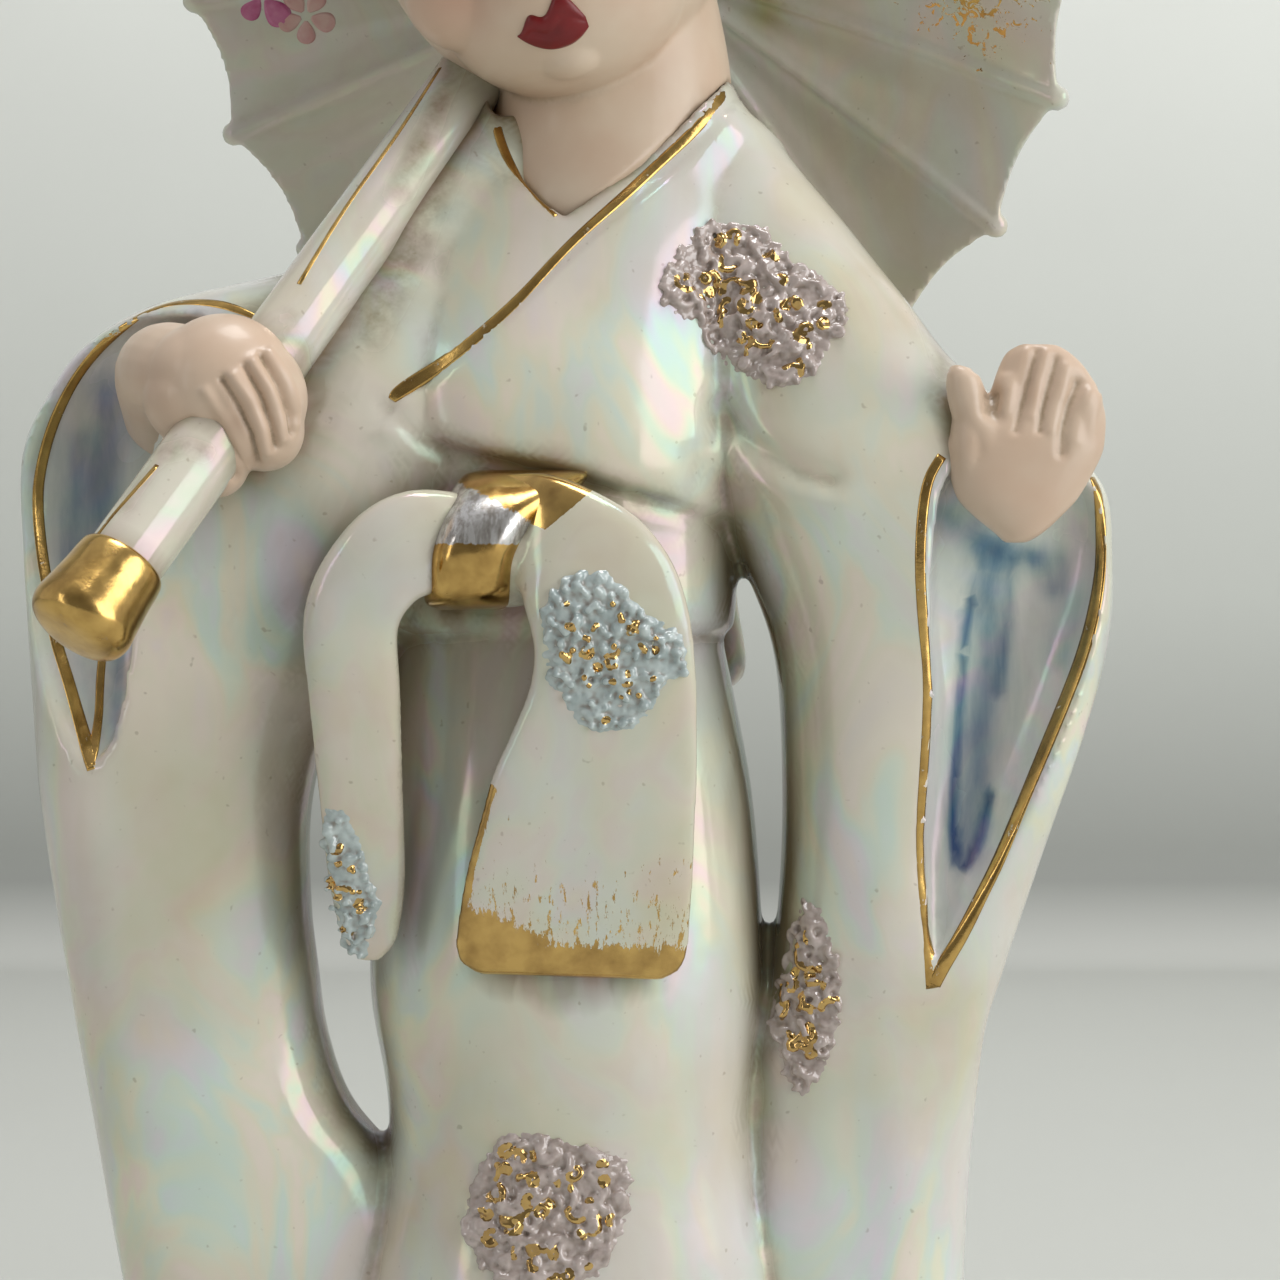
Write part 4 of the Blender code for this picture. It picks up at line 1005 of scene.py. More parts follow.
# Outlines of the flower patches in the photograph
PATCHES = {
    "crumbs_chest": ((656, 286), (668, 262), (681, 241), (704, 224), (730, 220), (756, 222), (775, 233),
                     (795, 261), (818, 270), (836, 286), (850, 304), (852, 322), (832, 347), (815, 375),
                     (791, 388), (764, 388), (734, 375), (709, 351), (697, 326), (664, 310)),
    "crumbs_skirt": ((461, 1228), (466, 1196), (477, 1170), (498, 1134), (530, 1130), (571, 1142),
                     (600, 1148), (628, 1158), (632, 1180), (635, 1200), (622, 1240), (604, 1275),
                     (560, 1296), (505, 1288), (474, 1262)),
    "crumbs_sleeve": ((803, 893), (820, 906), (832, 926), (840, 966), (844, 1007), (836, 1048),
                      (820, 1081), (803, 1105), (790, 1090), (783, 1073), (774, 1040), (766, 1007),
                      (774, 985), (783, 966), (786, 940), (791, 917)),
    "crumbs_right_tail": ((541, 650), (539, 610), (560, 578), (590, 566), (612, 572), (632, 596),
                          (650, 612), (680, 628), (690, 650), (686, 676), (664, 690), (655, 712),
                          (634, 730), (600, 736), (575, 722), (560, 698), (545, 680)),
    "crumbs_left_tail": ((318, 807), (332, 806), (347, 811), (356, 822), (363, 836), (371, 873),
                         (384, 901), (379, 926), (367, 958), (357, 969), (348, 958), (339, 942),
                         (330, 932), (322, 909), (318, 880), (320, 852)),
}


def make_crumbs(name, tree, outline, seed, curled):
    """Short curled crumbs of glaze, crowded on the surface inside an outline."""
    random.seed(seed)
    low = np.min(outline, axis=0)
    high = np.max(outline, axis=0)
    area = 0.5 * abs(sum(a[0] * b[1] - b[0] * a[1]
                         for a, b in zip(outline, outline[1:] + outline[:1])))
    bead = bmesh.new()
    bmesh.ops.create_icosphere(bead, subdivisions=2, radius=1.0)
    bead_verts = [vert.co.copy() for vert in bead.verts]
    bead_faces = [tuple(vert.index for vert in face.verts) for face in bead.faces]
    bead.free()
    verts, faces = [], []

    def add_bead(centre, size):
        start = len(verts)
        verts.extend(centre + vert * size for vert in bead_verts)
        faces.extend(tuple(start + index for index in face) for face in bead_faces)

    pitch = 6.5
    for row in range(int((high[1] - low[1]) / pitch) + 1):
        for column in range(int((high[0] - low[0]) / pitch) + 1):
            px = low[0] + pitch * (column + 0.5 * (row % 2)) + random.uniform(-2, 2)
            py = low[1] + pitch * row + random.uniform(-2, 2)
            margin = inside(outline, np.array([(px, py)]))[0]
            if margin > 2:
                place, normal = seen(tree, px, py)
                rise = random.uniform(-0.00010, 0.00004) - 0.00030 * math.exp(-margin / 6)
                add_bead(place + normal * (rise - 0.00030), 0.00062)
    gilded = []
    made = 0
    wanted = int(area / 105)
    for _ in range(20 * wanted):
        if made >= wanted:
            break
        px, py = random.uniform(low[0], high[0]), random.uniform(low[1], high[1])
        margin = inside(outline, np.array([(px, py)]))[0]
        if margin < 4:
            continue
        made += 1
        gold = margin > 14 and random.random() < 0.24
        place, normal = seen(tree, px, py)
        heading = normal.orthogonal().normalized()
        heading.rotate(Matrix.Rotation(random.uniform(0, 2 * math.pi), 3, normal))
        turn = random.choice((-1, 1)) * random.uniform(0.2, 0.9)
        radius = random.uniform(0.00030, 0.00048) if curled else random.uniform(0.00040, 0.00062)
        length = random.choice((2, 4, 6, 8, 10)) if curled else random.choice((1, 1, 1, 2, 3))
        lift = random.uniform(0.0001, 0.0006) * min(1.0, margin / 14)
        for step in range(length):
            spot, normal, _, _ = tree.find_nearest(place)
            swell = radius * (1 - 0.25 * abs(2 * step / max(length - 1, 1) - 1) ** 2)
            centre = spot + normal * (lift * math.sin(math.pi * (step + 0.7) / (length + 0.4)) + 0.00014)
            add_bead(centre, swell)
            if gold:
                gilded.append(centre + normal * 0.6 * swell)
            place = spot + heading * 0.00034
            heading.rotate(Matrix.Rotation(turn + random.uniform(-0.25, 0.25), 3, normal))
            heading = (heading - normal * heading.dot(normal)).normalized()
            if inside(outline, pixels_of(np.array([place])))[0] < 0:
                break
    beads = mesh_object(name + "_beads", verts, faces)
    crumbs = fuse(name, [beads], 0.00020, 3, most=45000)
    middle = [seen(tree, *centre)[0] for centre in gold_centres(outline, seed)]
    points = points_of(crumbs)
    nearest = np.min([np.linalg.norm(points - np.array(centre), axis=1) for centre in middle], axis=0)
    spots = KDTree(len(gilded))
    for index, spot in enumerate(gilded):
        spots.insert(spot, index)
    spots.balance()
    strewn = np.ones(len(points))
    if gilded:
        strewn = np.array([spots.find(point)[2] for point in points.tolist()])
    paint(crumbs, "gold", np.maximum(1 - nearest / 0.0018, 1.15 - strewn / 0.0007))
    paint(crumbs, "dirt_and_shade", dirt_of(crumbs, 8, 0.00016))
    return crumbs


def gold_centres(outline, seed):
    """Where gold was dabbed on a patch."""
    middle = np.mean(outline, axis=0)
    chooser = random.Random(seed + 50)
    centres = [tuple(middle)]
    for _ in range(5):
        corner = outline[chooser.randrange(len(outline))]
        share = chooser.uniform(0.25, 0.70)
        centres.append((middle[0] + share * (corner[0] - middle[0]),
                        middle[1] + share * (corner[1] - middle[1])))
    return centres


class Glaze:
    """A node material with short calls for its parts."""

    def __init__(self, name):
        self.material = bpy.data.materials.new(name)
        self.material.use_nodes = True
        self.tree = self.material.node_tree
        self.shader = self.tree.nodes["Principled BSDF"]
        self.place = self.node("ShaderNodeTexCoord").outputs["Object"]

    def node(self, kind, **settings):
        made = self.tree.nodes.new(kind)
        for key, value in settings.items():
            setattr(made, key, value)
        return made

    def put(self, socket, value):
        if isinstance(value, bpy.types.NodeSocket):
            self.tree.links.new(value, socket)
        elif isinstance(value, tuple) and len(value) == 3 and socket.type == "RGBA":
            socket.default_value = (*value, 1.0)
        else:
            socket.default_value = value

    def set(self, **values):
        for key, value in values.items():
            self.put(self.shader.inputs[key.replace("_", " ")], value)

    def stretched(self, x, y, z):
        made = self.node("ShaderNodeMapping")
        self.put(made.inputs["Vector"], self.place)
        made.inputs["Scale"].default_value = (x, y, z)
        return made.outputs["Vector"]

    def noise(self, scale, detail=3.0, roughness=0.55, vector=None, distortion=0.0):
        made = self.node("ShaderNodeTexNoise")
        self.put(made.inputs["Vector"], vector if vector is not None else self.place)
        made.inputs["Scale"].default_value = scale
        made.inputs["Detail"].default_value = detail
        made.inputs["Roughness"].default_value = roughness
        made.inputs["Distortion"].default_value = distortion
        return made.outputs["Fac"]

    def reach(self, value, low, high, to_low=0.0, to_high=1.0):
        made = self.node("ShaderNodeMapRange", clamp=True)
        self.put(made.inputs["Value"], value)
        for name, number in (("From Min", low), ("From Max", high), ("To Min", to_low), ("To Max", to_high)):
            made.inputs[name].default_value = number
        return made.outputs["Result"]

    def math(self, operation, *values):
        made = self.node("ShaderNodeMath", operation=operation)
        for socket, value in zip(made.inputs, values):
            self.put(socket, value)
        return made.outputs[0]

    def mix(self, share, first, second):
        made = self.node("ShaderNodeMix", data_type="RGBA")
        self.put(made.inputs[0], share)
        self.put(made.inputs[6], first)
        self.put(made.inputs[7], second)
        return made.outputs[2]

    def ramp(self, value, stops):
        made = self.node("ShaderNodeValToRGB")
        self.put(made.inputs[0], value)
        line = made.color_ramp
        for index, (at, colour) in enumerate(stops):
            stop = line.elements[index] if index < 2 else line.elements.new(at)
            stop.position = at
            stop.color = (*colour, 1.0)
        return made.outputs["Color"]

    def attribute(self, name):
        return self.node("ShaderNodeAttribute", attribute_name=name).outputs["Fac"]

    def bump(self, height, distance, strength):
        made = self.node("ShaderNodeBump")
        self.put(made.inputs["Height"], height)
        made.inputs["Distance"].default_value = distance
        made.inputs["Strength"].default_value = strength
        self.put(self.shader.inputs["Normal"], made.outputs["Normal"])


CREAM = (0.655, 0.620, 0.515)
WARM = (0.600, 0.540, 0.400)
COOL = (0.650, 0.648, 0.595)
# Brown of soiling in hollows, also used for the painted shade on the canopy beside the head
GRIME_AND_SHADE = (0.215, 0.155, 0.085)
# Brown of the painted shade where the figurine shelters itself
PAINTED_SHADE = (0.215, 0.170, 0.100)
GOLD = (0.660, 0.430, 0.140)
OLD_GOLD = (0.400, 0.240, 0.075)
# Tints of the painted sheen: the lustre's iridescent reflections as pastel colours
PAINTED_SHEEN_TINTS = ((0.00, (0.86, 0.70, 0.74)), (0.22, (0.74, 0.72, 0.80)), (0.42, (0.66, 0.78, 0.72)),
          (0.58, (0.80, 0.80, 0.62)), (0.76, (0.86, 0.74, 0.66)), (1.00, (0.82, 0.68, 0.78)))


def pearl(name, lustre=0.80, dirt_and_shade=0.85):
    """Cream lustre glaze: blotches, iridescent sheen painted in as pastel patches, painted shade where the
    figurine shelters itself, soiling with some painted shade in hollows and dark spots, and small pits.
    """
    glaze = Glaze(name)
    blotch = glaze.noise(38.0, 4.0, 0.6)
    colour = glaze.mix(glaze.reach(blotch, 0.40, 0.68), CREAM, WARM)
    cool = glaze.noise(55.0, 3.0, 0.5, glaze.stretched(1, 1, 0.35))
    colour = glaze.mix(glaze.reach(cool, 0.45, 0.70), colour, COOL)
    # Painted sheen: the lustre's iridescent reflections put into the colour as pastel patches
    bands = glaze.noise(46.0, 3.0, 0.55, glaze.stretched(1.0, 1.0, 0.6), distortion=1.6)
    rainbow = glaze.ramp(glaze.reach(bands, 0.25, 0.75), PAINTED_SHEEN_TINTS)
    where = glaze.math("MULTIPLY", glaze.reach(glaze.noise(24.0, 2.0), 0.42, 0.62), lustre)
    colour = glaze.mix(where, colour, rainbow)
    # Painted shade: darker where the figurine shelters itself
    sheltered_shade = glaze.math("MULTIPLY", glaze.reach(glaze.attribute("shelter_shade"), 0.14, 0.62), 0.95)
    colour = glaze.mix(sheltered_shade, colour, PAINTED_SHADE)
    # Soiling in the hollows, with painted shade on the canopy beside the head
    grime_and_shade = glaze.math("MULTIPLY", glaze.attribute("dirt_and_shade"),
                       glaze.reach(glaze.noise(210.0, 4.0, 0.7), 0.25, 0.65))
    colour = glaze.mix(glaze.math("MULTIPLY", grime_and_shade, dirt_and_shade), colour, GRIME_AND_SHADE)
    specks = glaze.reach(glaze.noise(900.0, 1.0), 0.73, 0.80)
    colour = glaze.mix(glaze.math("MULTIPLY", specks, 0.35), colour, GRIME_AND_SHADE)
    return glaze, colour, bands


def finish_pearl(glaze, colour, bands):
    """Gives a pearl glaze its colour, gloss, thin film and waves."""
    rough = glaze.reach(glaze.noise(70.0, 3.0), 0.3, 0.7, 0.10, 0.20)
    rough = glaze.math("ADD", rough, glaze.math("MULTIPLY", glaze.attribute("dirt_and_shade"), 0.35))
    glaze.set(Base_Color=colour, Roughness=rough, Coat_Weight=0.22, Coat_Roughness=0.04, IOR=1.50,
              Thin_Film_IOR=1.62)
    glaze.set(Thin_Film_Thickness=glaze.reach(bands, 0.3, 0.7, 260.0, 620.0))
    waves = glaze.noise(120.0, 2.0)
    pits = glaze.noise(1500.0, 1.0)
    glaze.bump(glaze.math("ADD", waves, glaze.math("MULTIPLY", pits, 0.04)), 0.00022, 0.5)
    return glaze.material


def gold_look(glaze):
    """Colour and roughness of brushed liquid gold."""
    tone = glaze.noise(260.0, 3.0, 0.6)
    colour = glaze.mix(glaze.reach(tone, 0.38, 0.70), GOLD, OLD_GOLD)
    rough = glaze.reach(glaze.noise(420.0, 3.0), 0.3, 0.7, 0.12, 0.28)
    return colour, rough


def robe_glaze():
    """Cream glaze with a wash of blue in the sleeves' openings."""
    glaze, colour, bands = pearl("pearl_glaze")
    streaks = glaze.noise(260.0, 4.0, 0.6, glaze.stretched(1.0, 1.0, 0.16), distortion=0.4)
    wash = glaze.math("ADD", glaze.attribute("wash"), glaze.math("MULTIPLY_ADD", streaks, 0.7, -0.35))
    blue = glaze.ramp(wash, ((0.0, (0.62, 0.63, 0.60)), (0.30, (0.42, 0.46, 0.47)),
                             (0.62, (0.17, 0.235, 0.31)), (1.0, (0.035, 0.085, 0.200))))
    colour = glaze.mix(glaze.attribute("lining"), colour, blue)
    return finish_pearl(glaze, colour, bands)


def canopy_glaze():
    """Cream glaze with a spray of gold near the rim and a pool of olive near the head."""
    glaze, colour, bands = pearl("canopy_glaze", 0.10)
    colour = glaze.mix(glaze.math("MULTIPLY", glaze.attribute("olive"), 0.75), colour, (0.36, 0.31, 0.10))
    gold, _ = gold_look(glaze)
    spray = glaze.noise(620.0, 3.0, 0.7, distortion=0.8)
    spray = glaze.math("ADD", spray, glaze.math("MULTIPLY", glaze.attribute("spray"), 0.22))
    mask = glaze.reach(spray, 0.75, 0.78)
    finish_pearl(glaze, glaze.mix(mask, colour, gold), bands)
    glaze.set(Metallic=mask)
    return glaze.material


def sash_glaze():
    """Cream glaze with brushed gold on the broad tail."""
    glaze, colour, bands = pearl("sash_glaze", lustre=0.10, dirt_and_shade=0.6)
    gold, _ = gold_look(glaze)
    brush = glaze.noise(1.0, 4.0, 0.75, glaze.stretched(1500.0, 1500.0, 170.0))
    brush = glaze.math("MULTIPLY_ADD", brush, 2.2, -0.60)
    mask = glaze.reach(glaze.math("ADD", glaze.attribute("gold"), brush), 0.58, 0.66)
    finish_pearl(glaze, glaze.mix(mask, colour, gold), bands)
    glaze.set(Metallic=glaze.math("MULTIPLY", mask, 0.95))
    return glaze.material


def wrap_material():
    """Gold on the knot, brushed thin to a silvery white in front."""
    glaze = Glaze("wrap_gold")
    colour, rough = gold_look(glaze)
    brush = glaze.noise(1.0, 4.0, 0.75, glaze.stretched(1300.0, 1300.0, 260.0))
    thin = glaze.math("ADD", glaze.attribute("silver"), glaze.math("MULTIPLY", brush, 1.2))
    mask = glaze.reach(thin, 1.12, 1.22)
    streaks = glaze.noise(1.0, 4.0, 0.7, glaze.stretched(900.0, 900.0, 160.0))
    silver = glaze.mix(glaze.reach(streaks, 0.42, 0.60), (0.66, 0.65, 0.64), (0.34, 0.31, 0.28))
    glaze.set(Base_Color=glaze.mix(mask, colour, silver), Roughness=rough,
              Metallic=glaze.reach(mask, 0.0, 1.0, 1.0, 0.75))
    glaze.bump(glaze.noise(700.0, 3.0), 0.00005, 0.5)
    return glaze.material


def gold_material(name, worn):
    """Liquid gold, rubbed thin in places down to the glaze."""
    glaze = Glaze(name)
    colour, rough = gold_look(glaze)
    rub = glaze.math("MULTIPLY", glaze.reach(glaze.noise(520.0, 4.0, 0.7), 0.64, 0.70), worn)
    colour = glaze.mix(rub, colour, CREAM)
    glaze.set(Base_Color=colour, Roughness=rough, Metallic=glaze.math("SUBTRACT", 1.0, rub))
    glaze.bump(glaze.noise(900.0, 3.0), 0.00006, 0.5)
    return glaze.material


def skin_glaze():
    """Flesh tint with blush, painted shade where the figurine shelters itself, and soiling in the creases."""
    glaze = Glaze("skin_glaze")
    tone = glaze.noise(90.0, 3.0)
    colour = glaze.mix(glaze.reach(tone, 0.35, 0.68), (0.670, 0.545, 0.420), (0.620, 0.465, 0.345))
    # Painted shade: darker where the figurine shelters itself
    sheltered_shade = glaze.math("MULTIPLY", glaze.reach(glaze.attribute("shelter_shade"), 0.15, 0.85), 0.5)
    colour = glaze.mix(sheltered_shade, colour, (0.340, 0.220, 0.130))
    colour = glaze.mix(glaze.attribute("blush"), colour, (0.560, 0.270, 0.180))
    grime_and_shade = glaze.math("MULTIPLY", glaze.attribute("dirt_and_shade"),
                       glaze.reach(glaze.noise(260.0, 4.0, 0.7), 0.25, 0.65))
    colour = glaze.mix(glaze.math("MULTIPLY", grime_and_shade, 0.8), colour, GRIME_AND_SHADE)
    glaze.set(Base_Color=colour, Roughness=glaze.reach(glaze.noise(80.0), 0.3, 0.7, 0.30, 0.44),
              Coat_Weight=0.15, Coat_Roughness=0.12, IOR=1.42)
    glaze.bump(glaze.noise(160.0, 3.0), 0.00015, 0.4)
    return glaze.material


def enamel(name, colour, second, scale, rough=0.15, coat=0.5):
    """Glossy paint that drifts between two colours."""
    glaze = Glaze(name)
    glaze.set(Base_Color=glaze.mix(glaze.reach(glaze.noise(scale, 3.0), 0.35, 0.68), colour, second),
              Roughness=glaze.reach(glaze.noise(scale * 1.7), 0.3, 0.7, rough, rough + 0.12),
              Coat_Weight=coat, Coat_Roughness=0.05)
    glaze.bump(glaze.noise(scale * 4, 2.0), 0.00004, 0.4)
    return glaze.material


def crumb_glaze(name, pale, deep):
    """Wet-looking glaze for the crumbs, with gold where it was dabbed."""
    glaze = Glaze(name)
    tone = glaze.noise(420.0, 3.0)
    colour = glaze.mix(glaze.reach(tone, 0.35, 0.66), pale, deep)
    colour = glaze.mix(glaze.math("MULTIPLY", glaze.attribute("dirt_and_shade"), 0.8), colour, (0.25, 0.19, 0.15))
    gold, rough = gold_look(glaze)
    blot = glaze.math("ADD", glaze.attribute("gold"), glaze.noise(480.0, 3.0, 0.65))
    mask = glaze.reach(blot, 1.06, 1.12)
    glaze.set(Base_Color=glaze.mix(mask, colour, gold), Metallic=mask,
              Roughness=glaze.reach(rough, 0.16, 0.34, 0.07, 0.18),
              Coat_Weight=0.8, Coat_Roughness=0.03, IOR=1.55)
    glaze.bump(glaze.noise(2200.0, 2.0), 0.00003, 0.5)
    return glaze.material


def dressed(piece, material):
    """Gives a piece its material and its place on the figurine."""
    piece.data.materials.clear()
    piece.data.materials.append(material)
    if piece.name not in bpy.context.scene.collection.objects:
        bpy.context.scene.collection.objects.link(piece)
        scratch.objects.unlink(piece)
    smooth_shading(piece)
    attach(piece, "root")
    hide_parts("figurine")


def dirt_of(piece, rounds, depth):
    """Grime that gathers in a piece's hollows."""
    return ramp(hollows(piece, rounds), 0.05 * depth, depth)


def paint_shelter_shade(piece, share):
    """Painted shade: how closed in each point is, 0 in the open, towards 1 where the figurine itself is close
    by.
    """
    chooser = np.random.default_rng(7)
    verts, normals = points_of(piece), normals_of(piece)
    starts = (verts + normals * 0.0006).tolist()
    shade = np.zeros(len(verts))
    for _ in range(SHELTER_RAYS):
        spread = chooser.normal(size=verts.shape)
        spread /= np.linalg.norm(spread, axis=1)[:, None]
        ways = (normals * 1.02 + spread).tolist()
        met = [whole_tree.ray_cast(start, way, SHELTER_REACH)[3] for start, way in zip(starts, ways)]
        shade += np.array([0.0 if distance is None else 1 - 0.7 * distance / SHELTER_REACH
                           for distance in met])
    edges = edges_of(piece)
    shade = shade[:, None] / SHELTER_RAYS
    for _ in range(5):
        shade = neighbours_mean(shade, edges, len(verts))
    paint(piece, "shelter_shade", share * shade[:, 0])


def near(verts, places, reach):
    """1 at given places, falling to 0 within reach metres."""
    best = np.full(len(verts), 1e9)
    for place in places:
        best = np.minimum(best, np.linalg.norm(verts - np.array(place), axis=1))
    return np.exp(-(best / reach) ** 2)


robe = make_robe()
robe_tree = tree_of(robe)
sash = make_sash()
handle, cap = make_handle()
left_hand = make_gripping_hand()
right_hand = make_raised_hand()
face = make_face()
hair = make_hair()
canopy = make_canopy()
wrap = make_wrap()
whole_tree = tree_of(robe, sash, wrap, handle, cap, left_hand, right_hand, face, hair, canopy)
# Painted shade for the places that the figurine shelters, stronger on some pieces than on others
for item, share in ((robe, 1.0), (sash, 0.9), (handle, 0.7), (left_hand, 0.45), (right_hand, 0.5),
                    (face, 0.9), (canopy, 0.12)):
    paint_shelter_shade(item, share)

robe_points = points_of(robe)
robe_pixels = pixels_of(robe_points)
# Darker strokes on the robe: line in the photograph, reach in pixels and strength
ROBE_DARKENING = (
    (((125, 380), (150, 345), (200, 322), (250, 318), (285, 345)), 15, 0.95),
    (((130, 450), (150, 425), (160, 400)), 16, 0.6),
    (((470, 90), (440, 175), (405, 260), (370, 330)), 22, 0.9),
    (((720, 60), (735, 80)), 10, 0.5),
    (((890, 240), (935, 330), (945, 370)), 16, 0.6),
)
dirt_and_shade = 0.6 * dirt_of(robe, 14, 0.0004)
# Darker where the handle meets the robe
dirt_and_shade = np.maximum(dirt_and_shade, 0.8 * near(robe_points, [handle_point(0.75 + 0.03 * k) for k in range(8)], 0.0075))
paint(robe, "dirt_and_shade", np.clip(np.maximum(dirt_and_shade, strongest(robe_pixels, ROBE_DARKENING)), 0, 1))
# The sleeves' openings in the photograph
RIGHT_OPENING = [row[:2] for row in RIGHT_RIM] + [row[:2] for row in RIGHT_RIM_OUTER[::-1]]
LEFT_OPENING = [row[:2] for row in LEFT_RIM] + [(120, 740), (140, 600), (200, 480), (262, 400)]
front = (normals_of(robe)[:, 1] < 0.3) & (robe_points[:, 1] < 0.004)
lining = ramp(inside(RIGHT_OPENING, robe_pixels), 0, 6)
lining = np.maximum(lining, ramp(inside(LEFT_OPENING, robe_pixels), 0, 8))
paint(robe, "lining", np.where(front, lining, 0))
# Strokes of blue wash in the openings: line in the photograph, reach in pixels and strength
STROKES = (
    (((990, 555), (988, 650), (976, 760), (968, 850)), 20, 0.55),
    (((945, 515), (985, 545), (1030, 555)), 16, 0.45),
    (((1060, 560), (1072, 600), (1060, 660)), 14, 0.35),
    (((1035, 560), (1050, 590)), 12, 0.35),
    (((970, 600), (965, 640), (955, 762), (952, 824), (957, 862), (966, 868), (980, 842), (991, 795)),
     5, 0.75),
    (((1012, 560), (1008, 620), (1000, 690)), 7, 0.35),
    (((112, 400), (100, 470), (88, 550)), 26, 0.50),
    (((80, 440), (68, 520), (66, 590)), 12, 0.30),
    (((118, 650), (119, 744)), 9, 0.45),
)
paint(robe, "wash", np.minimum(laid_on(robe_pixels, STROKES), 1.0))

face_points = points_of(face)
below_chin = ramp(-face_points[:, 2], -0.186, -0.176)
paint(face, "dirt_and_shade", np.clip(dirt_of(face, 14, 0.0005) * below_chin, 0, 1))
paint(face, "blush", 0.55 * near(face_points, [on_head(-0.0105, -0.0170, -0.0080),
                                               on_head(0.0105, -0.0170, -0.0080)], 0.0058))
for hand, lines in ((left_hand, GRIP_LINES), (right_hand, PALM_LINES)):
    grooves = [(line, 1.3 * reach, 1.0) for line, reach, height in lines if height < 0]
    grooves = strongest(pixels_of(points_of(hand)), grooves)
    paint(hand, "dirt_and_shade", np.maximum(dirt_of(hand, 10, 0.00022), 0.42 * grooves))
    paint(hand, "blush", 0.10 * np.ones(len(hand.data.vertices)))

# Gold on the broad tail: below its hem, along its left edge and in the bend at the knot
sash_pixels = pixels_of(points_of(sash))
hem_edge = np.interp(sash_pixels[:, 0], (455, 480, 560, 700), (900, 905, 940, 944))
hem = sash_pixels[:, 1] - hem_edge
hem = np.clip(np.where(hem < 0, hem / 330, hem / 25), -2, 2)
TAIL_GOLD = ((490, 790), (480, 825), (469, 870), (461, 912), (459, 942), (466, 958))
hem = np.maximum(hem, 2.8 * ridge(sash_pixels, TAIL_GOLD, 7) - 1.2)
GOLD_BEND = ((470, 455), (540, 460), (600, 484), (574, 506), (546, 530), (520, 520), (500, 500))
hem = np.maximum(hem, np.clip(0.6 * inside(GOLD_BEND, sash_pixels), -2, 2))
paint(sash, "gold", np.where(sash_pixels[:, 0] > 430, hem, -2))
paint(sash, "dirt_and_shade", 0.7 * dirt_of(sash, 10, 0.0004))

canopy_points = points_of(canopy)
# Painted shade on the canopy beside the head, put in with the soiling of its creases
canopy_shade_by_head = 0.9 * near(canopy_points, [Vector((0.028, 0.004, 0.176))], 0.018)
paint(canopy, "dirt_and_shade", np.maximum(0.5 * dirt_of(canopy, 8, 0.0004), canopy_shade_by_head))
canopy_pixels = pixels_of(canopy_points)
front = normals_of(canopy)[:, 1] < 0
SPRAY_LINE = ((955, 10), (990, 20), (1040, -60), (1000, -140))
paint(canopy, "spray", np.where(front, ridge(canopy_pixels, SPRAY_LINE, 50), 0))
paint(canopy, "olive", np.where(front, ridge(canopy_pixels, ((752, -20), (766, 12)), 20), 0))
# Dirt on the handle: line in the photograph, reach in pixels and strength
HANDLE_DIRT = (
    (((160, 455), (185, 447), (205, 452)), 10, 0.9),
    (((125, 510), (150, 470)), 9, 0.6),
    (((285, 320), (300, 345), (308, 385)), 9, 0.8),
    (((455, 62), (430, 125), (400, 190)), 13, 1.0),
)
paint(handle, "dirt_and_shade", strongest(pixels_of(points_of(handle)), HANDLE_DIRT))

gold_lines = gold_material("gold_lines", worn=0.85)
dressed(robe, robe_glaze())
dressed(sash, sash_glaze())
dressed(wrap, wrap_material())
dressed(canopy, canopy_glaze())
dressed(handle, finish_pearl(*pearl("handle_glaze", 0.12, 0.75)))
dressed(cap, gold_material("gold_cap", worn=0.3))
skin = skin_glaze()
dressed(left_hand, skin)
dressed(right_hand, skin)
dressed(face, skin)
black = enamel("black_hair", (0.012, 0.011, 0.012), (0.022, 0.019, 0.018), 240.0, 0.16)
dressed(hair, black)

face_tree = tree_of(face)
lips = head_patch("lips", face_tree, lips_shape, 40, 20)
lip_red = enamel("lip_red", (0.19, 0.002, 0.004), (0.14, 0.002, 0.003), 300.0, 0.30, 0.05)
dressed(lips, lip_red)
marks = join("eyes_and_brows", [head_patch("mark", face_tree, shape(side), 24, 4, 0.0003)
                                for side in (-1, 1) for shape in (eye_line, brow_line)])
brow_black = enamel("brow_black", (0.018, 0.014, 0.012), (0.030, 0.022, 0.018), 500.0)
dressed(marks, brow_black)

handle_tree = tree_of(handle)
UPPER_STROKE = ((299, 284, 4), (345, 208, 4), (395, 138, 4), (440, 68, 4))
LOWER_STROKE = ((157, 465, 5), (135, 490, 5), (112, 516, 5), (98, 534, 5))
for name, tree, rows in (("gold_edge_right", robe_tree, RIGHT_EDGE), ("gold_edge_left", robe_tree, LEFT_EDGE),
                         ("gold_rim_right_inner", robe_tree, RIGHT_RIM),
                         ("gold_rim_right_outer", robe_tree, RIGHT_RIM_OUTER),
                         ("gold_rim_left", robe_tree, LEFT_RIM),
                         ("gold_rim_left_inner", robe_tree, LEFT_RIM_INNER),
                         ("gold_handle_upper", handle_tree, UPPER_STROKE),
                         ("gold_handle_lower", handle_tree, LOWER_STROKE)):
    dressed(painted_line(name, tree, rows), gold_lines)

sash_tree = tree_of(sash)
canopy_tree = tree_of(canopy)


